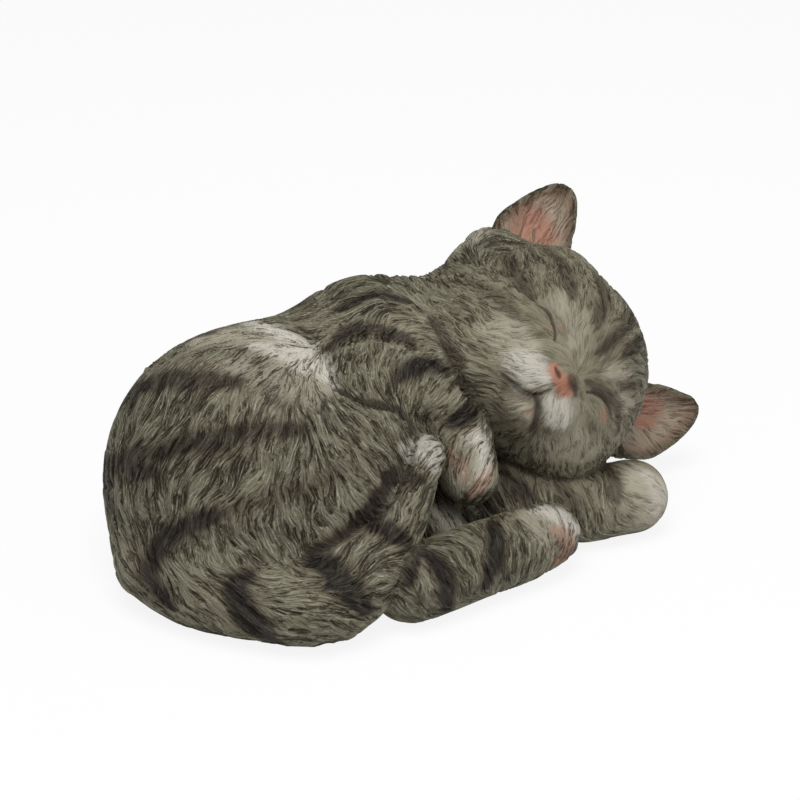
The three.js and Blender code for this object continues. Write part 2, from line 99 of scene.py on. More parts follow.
RIGHT_FORELEG = ((10, 25, 48, 15), (12.5, 19, 51, 17), (15.5, 6.5, 52, 16), (19, -3.5, 49, 13.5),
                 (23, -10, 43, 11.8), (24.5, -16, 36, 10.5), (24.8, -20, 30, 9.6), (24.5, -22.5, 26.5, 9))
LIMB_CONES = 20
FOOT_SPINE = ((-5, -42, 11), (14, -43, 11), (39, -43.5, 12.2))
PAW_SPINE = ((12, 20, 50), (19, -1, 48), (24, -14, 38), (24.8, -20, 30))

# The head, and its masses in its own axes: to its left, out of the face, up through the crown
HEAD_AT = (61.8, -5.7, 46)
HEAD_LEFT = (0.354, -0.467, -0.811)
HEAD_FACE = (-0.092, -0.88, 0.466)
SKULL = ((0, 0, 0), (33.5, 29, 31.8))
MUZZLE = ((0, 19, -12), (14, 14, 12))
CHIN = ((0, 19, -19), (9, 10, 7))
CHEEK = ((17, 10, -10), (15, 14, 15))
JOWL = ((-14, 2, -18), (18, 18, 16))
CREST = ((-18.5, -3, 18.7), (10.9, 12, 10.7))
FACE_BLEND, CHIN_BLEND, CREST_BLEND = 8, 5, 7
HEAD_BALL = 30
HEAD_SPINE = ((-0.6, 3, -5), (0, -3, 0))
NOSE_ROOT = (-1, 31, -7)

# The head's small forms, each an ellipsoid and the width that it melts over
FACE_FROM = -4
FACE_BULGES = (
    (((-8, 24.6, -15.5), (7.5, 6.5, 6)), 3),
    (((6.6, 25.2, -15.5), (7.5, 6.5, 6)), 3),
    (((-1.3, 24, -23.2), (6.5, 6, 5)), 3),
    (((-15.6, 20.2, -4.6), (8, 7.6, 5.2)), 2),
    (((15.2, 20.6, -4.4), (8, 7.6, 5.2)), 2),
    (((-1.2, 30.4, -9.8), (4.4, 4.2, 3.6)), 2),
)

# Both ears' rims as on the left side in the head's axes, and how the right one is set
LEFT_EAR_RIM = (
    (24.8, -4, 24.5), (28.4, -5, 30.2), (33.8, -6, 35), (39.4, -7, 38.8), (43.8, -8, 39.2), (47, -9, 36.2),
    (48.8, -10, 30.5), (48.9, -10, 23.5), (47.6, -10, 16), (42, -8, 9.5), (36, -5, 8.5), (31, -1, 12.5),
    (27, 0, 17.5),
)
RIGHT_EAR_RIM = (
    (25.9, -4, 23.2), (29.4, -5, 28.8), (34.2, -6, 34.6), (39.4, -7, 38.8), (43.8, -8, 39.2), (47, -9, 36.2),
    (48.8, -10, 30.5), (49.7, -10, 22.8), (49.4, -10, 14), (44.6, -8, 6.4), (38, -5, 6), (32.4, -1, 10.8),
    (28, 0, 16),
)
EAR_BASE = (30.5, -4, 14)
EAR_ACROSS = (12.7, -3, -14)
EAR_UP = (16, -4.5, 15.5)
EAR_HEIGHT = 27
EAR_ROOT_WIDTH, EAR_ROOT_SINK, EAR_ROOT_BACK_SINK, EAR_ROOT_FRONT, EAR_ROOT_DEPTH = 0.85, 4, 6, 2, 14
EAR_BOWL_UP, EAR_BOWL_BACK = 5, 5
EAR_RIM_THICKNESS, EAR_BULGE, EAR_SIDE_BULGE, EAR_CUP = 1.5, 4, 1.4, 1.5
RIGHT_EAR_LIFT, RIGHT_EAR_INWARD = 3, 4.8
EAR_LIP = 0.6
EAR_RIM_SPREAD = 0.36
# The streaks in the bowls: their width and reach, and between which of their heights each paint sets in
EAR_STREAKS = (1.1, 5)
PINK_STREAKS, WHITE_STREAKS, SHADE_STREAKS = (0.34, 0.5), (0.54, 0.66), (0.3, 0.42)
# The ears' grids: columns, and rings up the back, over the rim and down the bowl
EAR_GRID, EAR_QUICK_GRID = (220, 85, 10, 85), (110, 40, 6, 40)
# The pink flesh in each bowl: its middle and half sizes across and up the ear, and its edge in half sizes
EAR_FLESH = {-1: ((0.8, 11), (8.2, 9.5)), 1: ((-3, 10), (6.5, 7))}
FLESH_EDGE = (0.6, 1.2)

# The recess below the body, as in the solids
BASE_AT = (-33, 16)
BASE_HALF = (23.5, 18)
BASE_THICKNESS = 4
GAP = 0.4

# How the pieces share the skin, and over what width neighbouring forms melt
WIDE_BLEND = {"right": 11, "tail": 13, "head": 12}
SHOULDER_FOOT, SHOULDER_TOP = 44, 54
TAIL_LOOSE, TAIL_TIGHT, TAIL_BACK = -40, -18, (-84, -68)
NAPE_FLOW = (52, 60)
SKIN_INSET, BOX_EASE = -0.1, 0.3
SINK, SINK_FROM, SINK_WIDTH = 1.2, 0.5, 2
OVERLAP = 5
FLOOR_EDGE = 1.2

# How rays are cast: every fifth ray of every fifth ring marches, and all rays end with secants
COARSE = 5
FIRST_STEP = 2
MARCHES, STRIDE, LEAST_BACKWARD, LEAST_REACH = 40, 0.9, 0.02, 0.05
SECANTS, SLOPES, LONGEST_SECANT, LEAST_RUN = 4, (0.35, 3), 1.5, 1e-5
FAR_AWAY, FAR_BELOW = 1e6, -1000
# How the skin's outward way and a curve's heading are taken, and how often a place settles on the skin
PROBE, SETTLINGS = 0.2, 6
SPINE_PROBE, LIMB_PROBE = 0.002, 0.03

# Each skin's grid: columns, rows, and the shares of the rows that turn about its two ends
GRIDS = {
    "rump_and_back": (400, 230, (0.4, 0.06)),
    "shoulders_and_nape": (400, 240, (0.06, 0.42)),
    "hindquarter": (330, 280, (0.3, 0.3)),
    "ringed_tail": (196, 480, (0.07, 0.07)),
    "hind_foot": (220, 300, (0.2, 0.16)),
    "lower_foreleg": (200, 330, (0.13, 0.13)),
    "upper_foreleg": (270, 310, (0.22, 0.16)),
    "sleeping_head": (420, 230, (0.42, 0.5)),
}

# The camera, which also carries places in the picture, in pixels, onto the skin
CAMERA_AIM = (22, 14.5, 35)
CAMERA_DISTANCE = 900
CAMERA_TURN, CAMERA_RISE = -30, 30
CAMERA_LENS, SENSOR_WIDTH = 131.2, 36
PICTURE_SIDE = 800
NEAREST_SKIN, SIGHT_STEPS = 780, 70

# The stage, in metres: the floor, how much of it glows for the camera alone, each lamp's place and size
FLOOR_REACH, FLOOR_LEVEL = 3, -0.00005
FLOOR_GLOW = 0.88
KEY_LAMP, FILL_LAMP = ((-0.15, -0.2, 0.95), 0.6), ((0.6, -0.6, 0.4), 0.6)
CLIP_START = 0.01

# Noise: the side of its table as a power of two, and a seed for each use
TABLE_BITS = 6
FINE_SEED, SLOW_SEED, STREAK_SEED, BROAD_SEED = 3, 7, 11, 19

# Over what depth one form's hair and paint give way to the next one's, and the least share that counts
FORM_EDGE, LEAST_SHARE = 0.8, 0.02
# The hair's lie: how far a guide is felt, how strong the plain lie is beside the guides, and where that runs
GUIDE_REACH = 7.5
GUIDE_LOOSE, HEAD_LOOSE = 0.04, 0.3
LEAST_FACING = 0.35
HIP = (-16, 14, 72)
BACK_HAIR_FALL, LEG_HAIR_FALL = (-0.25, 0, -0.8), -0.35
NECK_WAY, NECK_FROM = (-0.85, 0, -0.3), 20
# Whorls: size, shift and seed of each noise and the turn that it gives, of which SWIRL is kept
SWIRL = 0.5
WHORLS = ((15, 9, SLOW_SEED, 1.8), (5, 31, STREAK_SEED, 1.7), (2.3, 57, BROAD_SEED, 1.5))

# Locks: how noise is combed along the hair, and how fine and broad locks add up to a height from 0 to 1
COMB_TAPS, COMB_TAPER = 13, 1.3
BROAD_WIDTH, BROAD_REACH = 2.1, 1.4
LOCK_LEVEL, FINE_GAIN, BROAD_GAIN, LOCK_EDGES = 0.57, 4, 2.4, (0.08, 0.92)
STRAND_TAPS, STRAND_GAIN = 11, 5.6
# The depth of the cut at the nose, what the way to the neck adds, and what paw ends and pads take off
FACE_CUT, NECK_CUT, FACE_SPAN = 0.3, 0.55, (14, 38)
PAW_SMOOTHNESS, PAD_SMOOTHNESS = 0.55, 0.8
# Heights above the floor over which the cut begins and the painted lower edge ends
FLOOR_FADE, FLOOR_RIM = (0.2, 2.2), (0.7, 2.8)
# The deepest that folds press in, how many half widths they reach, and the last share that starts a span
FOLD_LIMIT, FOLD_REACH, LAST_SHARE = 2.8, 4, 0.9999

# Paint: how ragged its edges are, their begin and end in shares of the half width, and the creases' painted
# shade
RAGGED, RAGGED_GRAIN, RAGGED_REACH, RAGGED_TAPS = 5, 1.1, 3, 7
CRISP_EDGE, SOFT_EDGE, STROKE_REACH, STROKE_END = (0.4, 1.35), (0.4, 1.6), 1.8, 0.6
CREASE_SHADE_REACH, CREASE_STRENGTH = 1.7, 0.7
# Each form's base coat from khaki at 0 to pale at 1, and the patches on it: size, shift, seed and share
# The paler coats of the upper foreleg and head are partly painted light, for parts facing the light from
# above
TONES = {"body": 0.1, "tail": 0.35, "foot": 0.1, "left": 0.4, "right": 0.45, "head": 0.5}
PALE_PATCHES = ((11, 5, SLOW_SEED, 0.65), (5, 17, STREAK_SEED, 0.35))
PALE_SPAN, PALE_EDGES = 0.3, (0.3, 0.7)
# Olive patches and flecks, each a scale per metre and a detail, and how the strands and locks take the paint
OLIVE_PATCHES, FLECKS = (90, 3), (1400, 2)
FUR_ROUGHNESS, LEG_ROUGHNESS, FACE_ROUGHNESS = 0.6, 0.58, 0.56
STRAND_SHARE, LOCK_SHARE = 0.6, 0.4
TOP_GAIN, DEEP_GAIN = 2.6, -2.8
RIDGE_FROM, RIDGE_GAIN = 0.72, 1.5
# What is left of ridges and heights where no hair is cut, and how well each paint covers
BARE_RIDGE, BARE_HEIGHT = 0.3, 0.25
OLIVE_COVER, TOP_COVER, RIDGE_COVER = 0.5, 0.42, 0.6
WASH_COVER, DARK_AND_SHADE_COVER, EDGE_COVER = 0.9, 0.92, 0.85
# The underside: mottling and pits of the plate and scuffs on the plug, and how deep these are, in metres
BASE_MOTTLE, BASE_PITS, RUBBER_SCUFFS = (160, 4), (1500, 2), (700, 3)
PIT_DEPTH, SCUFF_DEPTH = 0.00008, 0.00004

# Hair guides read off the picture: a place, and the angle below the level to which the hair points
HAIR_GUIDES = {
    "body": (
        (117, 431, 110), (117, 497, 95), (128, 541, 75), (150, 420, 125), (161, 398, 110), (194, 409, 120),
        (216, 420, 125), (249, 402, 105), (282, 365, 165), (249, 343, 175), (216, 350, 160), (227, 446, 130),
        (194, 464, 125), (183, 497, 100), (161, 508, 95), (271, 442, 115), (249, 482, 130), (293, 453, 110),
        (315, 409, 105), (304, 393, 120), (340, 420, 45), (362, 422, 40), (337, 445, 60), (370, 446, 55),
        (293, 497, 95), (315, 508, 70), (315, 530, 50), (282, 530, 60), (249, 519, 80), (216, 530, 80),
        (238, 552, 60), (271, 552, 20), (348, 486, 60), (348, 519, 50), (303, 335, 220), (320, 356, 60),
        (326, 330, 120), (277, 332, 190), (375, 306, 185), (350, 311, 155), (405, 317, 210), (384, 343, 110),
        (362, 352, 105), (391, 352, 110), (347, 366, 95), (362, 380, 95), (384, 387, 95), (435, 306, 240),
        (428, 284, 250), (450, 328, 245), (326, 310, 130), (400, 425, 50),
    ),
    "right": (
        (384, 343, 110), (405, 345, 100), (428, 330, 240), (440, 346, 240), (403, 372, 115), (403, 402, 100),
        (420, 394, 115), (435, 387, 125), (443, 409, 125), (421, 424, 120), (466, 444, 130), (482, 444, 130),
        (474, 468, 110), (485, 460, 110), (482, 481, 115), (469, 492, 95), (459, 468, 80), (455, 400, 130),
    ),
    "tail": (
        (150, 570, 60), (172, 585, 50), (205, 596, 45), (227, 618, 50), (282, 596, 10), (293, 618, 25),
        (315, 629, 30), (315, 585, 0), (348, 559, -40), (370, 541, -60), (326, 618, 20), (348, 629, 30),
        (359, 574, -10), (402, 572, 5), (394, 556, -15), (407, 460, -60), (425, 460, -30), (418, 484, -70),
        (410, 516, -75), (430, 500, -50), (421, 532, -30), (394, 500, -90), (272, 640, 20),
    ),
    "foot": (
        (466, 540, 20), (450, 563, 40), (474, 563, 60), (418, 571, 45), (458, 579, 50), (434, 595, 40),
        (510, 548, 70), (521, 532, 60), (513, 516, 45), (529, 555, 95), (550, 519, 70), (532, 513, 55),
    ),
    "left": (
        (513, 484, 55), (521, 500, 65), (537, 487, 50), (561, 492, 60), (577, 484, 60), (593, 487, 60),
        (569, 516, 75), (601, 500, 60), (490, 500, 70), (505, 492, 60), (625, 485, 50), (645, 490, 30),
    ),
    "head": (
        (460, 320, 240), (465, 345, 225), (480, 300, 240), (485, 330, 215), (470, 360, 215), (515, 270, 245),
        (540, 270, 250), (497, 350, 200), (520, 345, 190),
    ),
}

# Lines read off the picture, for paint and for folds
EYES = (
    ((537, 304.5), (545, 309.5), (550.5, 317.5), (554, 326), (555.5, 334), (555, 340)),
    ((588, 392.5), (596, 393.5), (604, 399), (610, 409), (612, 419), (611, 427)),
)
MOUTH = ((501, 375.5), (513, 384.5), (525, 392.5), (535, 395.5), (541, 394.5))
LIP = ((535, 395.5), (537.5, 403.5), (537.5, 413), (534.5, 423), (529, 433))
PHILTRUM = ((541, 394.5), (551, 389.5))
NOSTRILS = (((555.5, 367.5), (558, 373.5), (559.5, 378)), ((571.5, 382.5), (574.5, 387.5), (576.5, 395)))
NOSE_SHADE = ((571, 378), (576, 388))
RUFF = ((430, 317), (441, 335), (448.5, 353.5), (455, 366), (462, 386), (473, 402))
BACK_ARC = ((332, 311), (345, 304), (361, 298), (377, 296), (391, 298), (407, 303))
SHOULDER_EDGE = (
    (334, 352), (343, 344), (355, 340), (370, 338.5), (385, 340), (400, 344), (415, 351), (430, 361),
    (445, 371),
)
FLANK_DIP = ((312, 316), (322, 335), (326, 357), (334, 378), (338, 390))
THIGH_EDGE = ((335, 389), (346, 396), (358, 401), (375, 408), (391, 411), (406, 421), (418, 439))
THIGH_SHADE = ((337, 387), (355, 396), (368, 401), (386, 405), (402, 411), (415, 430), (422, 440))
THIGH_CRINKLES = (((326, 398), (323, 410), (326, 420), (333, 430)), ((309, 409), (306, 430)))
RUMP_NOTCHES = (((101, 447), (107, 449), (114, 450)), ((101, 489), (107, 488), (114, 487)))
RUMP_TUFT = ((146, 373), (150, 366), (156, 361))
TAIL_GAP_SHADE = ((401, 463), (387, 483), (375, 502), (358, 522), (337, 541), (308, 554))
PAD_HOLLOW, PAD_BUMP = ((553, 541), (562, 548), (560, 557)), ((544, 544), (547, 557))
PAD_SHADE = ((553, 545), (560, 548), (558, 557))
TOE_CUT = ((566, 520), (573, 531))

# Brush strokes read off the picture: places, half width in millimetres and strength.
# The first ones cross two forms each
RUMP_RING = (((218, 515), (190, 526), (168, 539), (157, 554), (148, 570), (159, 592), (168, 605)), 4.3, 0.95)
TIP_RING = (((386, 480), (403, 477), (422, 481)), 3.2, 0.9)
# The shoulder arc is a tabby stripe, darkened further as painted shade in the recess above the upper
# foreleg's edge
SHOULDER_ARC = (
    ((333, 347), (341, 334), (355, 328), (369, 328), (384, 331), (399, 334), (413, 341)), 2.8, 0.88,
)
# Pale belly fur between the paws, laid on brighter as painted light in the shaded hollow there
BELLY = (((430, 490), (446, 504), (462, 515), (480, 522)), 7.5, 1)
PALE_NAPE = (((458, 247), (468, 237), (480, 231), (494, 226)), 4, 0.7)

# Dark tabby bands, and on the body a band of painted shadow along the gap between tail and hindquarter
BODY_BANDS = (
    (((130, 405), (141, 387), (154, 383), (172, 378), (194, 380), (214, 380), (236, 383)), 4.3, 0.85),
    (((128, 453), (161, 451), (187, 444), (218, 440), (245, 433), (267, 429), (306, 431)), 4, 0.85),
    (((101, 464), (118, 463), (139, 473), (152, 474)), 3.9, 0.9),
    (((190, 517), (218, 515), (249, 504), (278, 495), (306, 486), (333, 471), (352, 464)), 3, 0.5),
    (((336, 309), (347, 303), (362, 297), (377, 294), (391, 296), (406, 300)), 2.4, 0.95),
    # Painted shadow in the gap between the tail and the hindquarter
    (((386, 488), (377, 505), (362, 524), (342, 541), (316, 555)), 4.4, 0.95),
    RUMP_RING, TIP_RING, SHOULDER_ARC,
)
UPPER_FORELEG_BANDS = (
    (((396, 381), (406, 372), (419, 366), (434, 365), (446, 372)), 3.4, 1),
    (((452, 424), (466, 414), (482, 404)), 3.8, 1),
    SHOULDER_ARC,
)
TAIL_RINGS = (
    RUMP_RING, TIP_RING,
    (((247, 572), (236, 587), (240, 605), (253, 625), (269, 640), (278, 647)), 5.2, 1),
    (((304, 556), (324, 563), (339, 578), (355, 596), (366, 611)), 5.2, 1),
    (((368, 520), (384, 528), (398, 536), (410, 544)), 4, 1),
)
HIND_FOOT_BANDS = (
    (((423, 544), (415, 559), (411, 573), (408, 584)), 2.8, 1),
    (((428, 553), (440, 566), (448, 582), (447, 600), (448, 612)), 3.7, 1),
    (((493, 522), (496, 535), (497.5, 547.5), (496, 560), (491, 573), (486, 586)), 3.6, 1),
)
LOWER_FORELEG_BANDS = (
    (((502, 471), (513.5, 484), (526, 495), (533, 504.5)), 3, 0.8),
    (((558, 484), (569, 500), (576, 512.5), (577, 522)), 3.1, 0.7),
    (((606, 468), (614, 484), (617, 500)), 2.7, 0.7),
    (((470, 505), (482, 512), (492, 518)), 2.6, 0.8),
)
HEAD_STRIPES = (
    (((501, 249), (507, 257), (513, 269), (523, 283), (531, 296.5)), 2.5, 0.7),
    (((464, 279), (485.5, 288.5), (505, 300.5), (519, 316.5)), 2.1, 0.5),
    (((551, 255), (562.5, 263), (568.5, 277), (572, 288.5), (573, 298.5)), 2.3, 0.72),
    (((601, 281), (605, 292.5), (604, 304.5), (600, 316.5), (597, 326)), 2.7, 0.72),
    (((634, 312.5), (628, 324), (618, 336), (608, 345), (598, 354)), 2.5, 0.8),
    (((643.5, 338), (635.5, 347), (624, 354)), 2.5, 0.85),
    (((643.5, 385.5), (630, 385.5), (618, 383.5)), 1.9, 0.55),
    (((588.5, 383.5), (602, 389.5), (614, 401.5), (619, 415), (617, 431)), 2, 0.75),
    (((505, 386), (519, 392), (530, 398)), 1.8, 0.55),
    (((586.5, 415), (592, 429)), 2.4, 0.35),
    # Painted shadow on the side of the nose bridge
    (((562.5, 328), (565.5, 338)), 1.6, 0.45),
)

# Airbrushed cream
HIP_CREAM = (
    (((200, 340), (242, 332), (283, 345), (320, 380)), 9, 0.85),
    (((225, 362), (270, 372), (312, 398)), 6, 0.55),
)
LOWER_PAW_CREAM = ((((640, 478), (655, 493), (650, 515)), 9, 0.85), (((628, 480), (625, 505)), 4, 0.4))
HIND_FOOT_CREAM = ((((528, 515), (550, 533), (568, 548)), 6, 0.6),)
UPPER_PAW_CREAM = ((((474, 446), (480, 468), (470, 494)), 8, 0.6),)
FACE_CREAM = (
    (((491, 328), (511, 338), (531, 348)), 5, 0.72),
    (((562.5, 296.5), (578.5, 322), (570.5, 344)), 4, 0.45),
    (((550.5, 296.5), (562.5, 310.5)), 3, 0.4),
    (((608, 371.5), (628, 375.5)), 3.6, 0.6),
    (((618, 399.5), (632, 407)), 3, 0.6),
    (((524, 403), (531, 415)), 3.4, 0.65),
    (((578.5, 403.5), (582.5, 433)), 3, 0.35),
    (((545, 440), (566.5, 448), (598, 450)), 5, 0.4),
)

# Brushed white
BODY_WHITE = (
    (((250, 322), (282, 334), (306, 351), (326, 376)), 4.6, 0.7),
    (((255, 345), (282, 352), (304, 368)), 4, 0.55),
    (((318, 342), (328, 362), (335, 386)), 2.4, 0.35),
    (((405, 447), (414, 452), (424, 458)), 3.6, 0.4),
    (BELLY[0], 6, 0.3),
)
LOWER_PAW_WHITE = ((((650, 478), (661, 491), (656, 508)), 4.5, 0.4),)
TAIL_TIP_WHITE = ((((410, 449), (426, 446), (436, 454), (438, 464)), 5.5, 0.52),)
HIND_FOOT_WHITE = ((((533, 509), (553, 512), (567, 519), (576, 530), (580, 543)), 3.2, 0.62),)
UPPER_PAW_WHITE = ((((480, 440), (486, 458), (482, 474)), 3.2, 0.6), (((469, 438), (489, 432)), 3, 0.4))
FACE_WHITE = (
    (((513, 361), (529, 369), (543, 376)), 4.8, 0.65),
    (((551, 402), (558.5, 413), (562.5, 425)), 3.8, 0.6),
)

# Pink on pads, nose and lips
UPPER_PAW_PINK = (
    (((449, 452), (458, 462), (465, 478)), 2.8, 0.26),
    (((493, 468), (482, 484), (472, 496)), 2.6, 0.36),
)
HIND_FOOT_PINK = ((((556, 530), (568, 540), (571, 550), (556, 562)), 3.2, 0.38),)
FACE_PINK = (
    (((558.5, 379.5), (565.5, 384.5), (570.5, 391.5)), 2.8, 0.85),
    (((553.5, 366), (557, 374)), 2, 0.8),
    (((550.5, 369.5), (551, 371)), 2.6, 0.28),
    (((558.5, 392.5), (566.5, 393.5)), 2, 0.4),
    (((549.5, 326), (549, 328)), 1.7, 0.15),
    (((604, 411), (606, 419)), 2.2, 0.3),
    (((530, 411), (531, 413)), 2.2, 0.25),
    (((560.5, 328), (561, 330)), 1.6, 0.18),
)

# Strokes by paint and form
STROKES = {
    "band": {
        "body": BODY_BANDS, "right": UPPER_FORELEG_BANDS, "tail": TAIL_RINGS, "foot": HIND_FOOT_BANDS,
        "left": LOWER_FORELEG_BANDS, "head": HEAD_STRIPES,
    },
    "cream": {
        "body": (*HIP_CREAM, BELLY, PALE_NAPE), "left": (*LOWER_PAW_CREAM, BELLY), "foot": HIND_FOOT_CREAM,
        "right": UPPER_PAW_CREAM, "head": (PALE_NAPE, *FACE_CREAM),
    },
    "white": {
        "body": BODY_WHITE, "left": LOWER_PAW_WHITE, "tail": TAIL_TIP_WHITE, "foot": HIND_FOOT_WHITE,
        "right": UPPER_PAW_WHITE, "head": FACE_WHITE,
    },
    "pink": {"right": UPPER_PAW_PINK, "foot": HIND_FOOT_PINK, "head": FACE_PINK},
    # Dark paint on eyelids, mouth, lip and nostrils; painted shade along the ruff, thigh, tail gap, nose
    # side and pad
    "dark_paint_and_shade": {
        "body": (
            (THIGH_SHADE, 1.8, 0.9), (THIGH_CRINKLES[0], 1, 0.6), (THIGH_CRINKLES[1], 1.2, 0.45),
            (TAIL_GAP_SHADE, 2.4, 0.75), (RUFF, 1.8, 0.8),
        ),
        "tail": ((TAIL_GAP_SHADE, 1.8, 0.5),),
        "right": ((RUFF, 1.8, 0.8), (THIGH_SHADE, 1.8, 0.9)),
        "foot": ((PAD_SHADE, 1.6, 0.4),),
        "head": (
            (RUFF, 1.8, 0.75), (EYES[0], 0.8, 0.85), (EYES[1], 0.8, 0.85), (MOUTH, 0.8, 0.75),
            (LIP, 1.1, 0.8), (PHILTRUM, 0.5, 0.5), (NOSTRILS[0], 0.7, 0.9), (NOSTRILS[1], 1.1, 0.75),
            (NOSE_SHADE, 2.2, 0.7),
        ),
    },
}
# Bands on the sides that the picture doesn't show, in the model's axes, and in the head's for the head
HIDDEN_BANDS = {
    "body": (
        (((-38, 22, 72), (-42, 40, 58), (-46, 48, 34)), 4.5, 0.8),
        (((-20, 26, 69), (-20, 42, 57), (-24, 48, 30)), 4.5, 0.8),
        (((-2, 28, 68), (0, 44, 53), (-4, 48, 28)), 4, 0.8),
        (((18, 28, 71), (20, 42, 55), (16, 45, 30)), 4, 0.8),
        (((36, 26, 66), (38, 36, 50), (34, 37, 28)), 3.5, 0.7),
        (((-60, 38, 38), (-62, 28, 52), (-60, 18, 61)), 5, 0.85),
        (((-73, 28, 26), (-76, 16, 36)), 5, 0.85),
    ),
    "head": (
        (((-8, -20, 20), (-8, -6, 30)), 3, 0.6),
        (((8, -20, 20), (8, -6, 30)), 3, 0.6),
        (((33, 2, -10), (26, -12, -12)), 3, 0.5),
    ),
}

# Folds by form: places, depth, half width and the lip raised on the right, in millimetres.
# A fold of negative depth and lip stands up
FOLDS = {
    "body": (
        (THIGH_EDGE, 2.5, 1.9, 1), (BACK_ARC, 1.7, 2, 0.6), (SHOULDER_EDGE, 2.1, 2.6, 0.8),
        (RUFF, 2.2, 1.5, 0.3), (FLANK_DIP, 1.2, 2.2, 0), (THIGH_CRINKLES[0], 0.9, 1.2, 0.2),
        (THIGH_CRINKLES[1], 0.8, 1.4, 0.2), (RUMP_NOTCHES[0], 0.9, 1.5, 0.3),
        (RUMP_NOTCHES[1], 0.9, 1.5, 0.3), (RUMP_TUFT, -1.1, 1.6, -1.1),
    ),
    "right": ((SHOULDER_EDGE, 2.1, 2.6, 0.8), (RUFF, 2.2, 1.5, 0.3), (THIGH_EDGE, 2.5, 1.9, 1)),
    "foot": ((PAD_HOLLOW, 1.1, 1.8, 0.4), (TOE_CUT, 0.5, 0.7, 0), (PAD_BUMP, -0.7, 2, -0.7)),
    "head": (
        (RUFF, 2, 1.5, 0.3), (EYES[0], 0.9, 0.7, 0.2), (EYES[1], 1, 0.8, 0), (MOUTH, 1.1, 0.8, 0.2),
        (LIP, 1.4, 1.1, 0.3), (PHILTRUM, 0.5, 0.5, 0), (NOSTRILS[0], 0.9, 0.55, 0),
        (NOSTRILS[1], 0.9, 0.6, 0),
    ),
}

LIMBS = {"tail": TAIL, "foot": HIND_FOOT, "left": LEFT_FORELEG, "right": RIGHT_FORELEG}
# Which forms each skin meets, its own first
MEETS = {
    "torso_rear": ("body", "tail", "foot", "right"),
    "torso_front": ("body", "right", "head", "left", "foot", "tail"),
    "haunch": ("body", "tail", "foot", "right"),
    "tail": ("tail", "body", "foot", "right"),
    "foot": ("foot", "tail", "body", "left"),
    "left": ("left", "body", "head", "right", "foot"),
    "right": ("right", "body", "head", "left", "tail"),
    "head": ("head", "body", "right", "left"),
}
# How deep the hair is cut on each form, and between which places along x it fades to the smooth end of a paw
HAIR_CUT = {"body": 1, "tail": 1, "right": 0.85, "left": 0.7, "foot": 0.75}
SMOOTH_ENDS = {"left": (62, 72)}
HEAD_FINENESS = 1.5


def unit(v):
    """Each vector divided by its own length."""
    v = np.asarray(v, dtype=np.float32)
    return v / np.maximum(np.linalg.norm(v, axis=-1, keepdims=True), 1e-9)


def melt(a, b, width):
    """The lesser of two distances, rounded by a parabola where they differ by less than the width."""
    share = np.maximum(width - np.abs(a - b), 0) / width
    return np.minimum(a, b) - share * share * width / 4


def step(low, high, x):
    """0 below low, 1 above high, and 3t^2 - 2t^3 between."""
    t = np.clip((x - low) / (high - low), 0, 1)
    return t * t * (3 - 2 * t)


def egg(p, form):
    """Distance to an ellipsoid: k(k - 1) / g, with k the length of p over the half sizes and g its slope."""
    at, half = (np.asarray(part, dtype=np.float32) for part in form)
    q = (p - at) / half
    near = np.sqrt(np.einsum("ij,ij->i", q, q))
    q = q / half
    return near * (near - 1) / np.maximum(np.sqrt(np.einsum("ij,ij->i", q, q)), 1e-6)


def curve_at(a, b, c, d, t):
    """Catmull-Rom: half of 2b + (c - a) t + (2a - 5b + 4c - d) t^2 + (3b - a - 3c + d) t^3, from b to c."""
    square, cube = 2 * a - 5 * b + 4 * c - d, 3 * b - a - 3 * c + d
    return 0.5 * (2 * b + (c - a) * t + square * t * t + cube * t ** 3)


def through(points, share):
    """The curve through rows of numbers at shares from 0 to 1, its ends carried on straight."""
    rows = np.asarray(points, dtype=np.float32)
    rows = np.vstack([2 * rows[0] - rows[1], rows, 2 * rows[-1] - rows[-2]])
    place = np.clip(np.asarray(share, dtype=np.float32), 0, 1) * (len(rows) - 3)
    at = np.minimum(place.astype(int), len(rows) - 4)
    return curve_at(rows[at], rows[at + 1], rows[at + 2], rows[at + 3], (place - at)[..., None])


def heading(points, share, probe):
    """The way in which a curve runs at shares from 0 to 1, from places a little before and after them."""
    before = through(points, np.maximum(share - probe, 0))
    after = through(points, np.minimum(share + probe, 1))
    return unit(after[:, :3] - before[:, :3])


def beside(p, start, end):
    """Each place's share along a straight line, held from 0 to 1, and its distance from the line there."""
    way, q = end - start, p - start
    share = np.clip(q @ way / (way @ way), 0, 1)
    away = q - share[:, None] * way
    return share, np.sqrt(np.einsum("ij,ij->i", away, away))


def limb(p, balls, count=LIMB_CONES):
    """Least distance to cones between balls of the curve: away from the axis less the radius there."""
    row = through(balls, np.linspace(0, 1, count))
    nearest = np.full(len(p), FAR_AWAY, dtype=np.float32)
    for start, end in zip(row[:-1], row[1:]):
        share, reach = beside(p, start[:3], end[:3])
        nearest = np.minimum(nearest, reach - start[3] - (end[3] - start[3]) * share)
    return nearest


LEFT, FACE = unit(HEAD_LEFT), unit(HEAD_FACE)
CROWN = unit(np.cross(FACE, LEFT))
HEAD_AXES = np.stack([LEFT, FACE, CROWN])


def to_head(p):
    """Places in the head's own left-handed axes: to its left, out of the face, up through the crown."""
    return (p - np.float32(HEAD_AT)) @ HEAD_AXES.T


def from_head(q):
    """Places in the head's own axes carried back into the model's."""
    return np.asarray(q, dtype=np.float32) @ HEAD_AXES + np.float32(HEAD_AT)


def body(p):
    """Rump, loin, shoulders, neck, nape, thigh and the lap between the paws melted together."""
    near = melt(egg(p, RUMP), egg(p, LOIN), BODY_BLEND)
    near = melt(near, egg(p, SHOULDERS), BODY_BLEND)
    near = melt(near, egg(p, NECK), BODY_BLEND)
    near = melt(near, limb(p, NAPE, NAPE_CONES), NAPE_BLEND)
    near = melt(near, egg(p, THIGH), THIGH_BLEND)
    return melt(near, egg(p, LAP), LAP_BLEND)


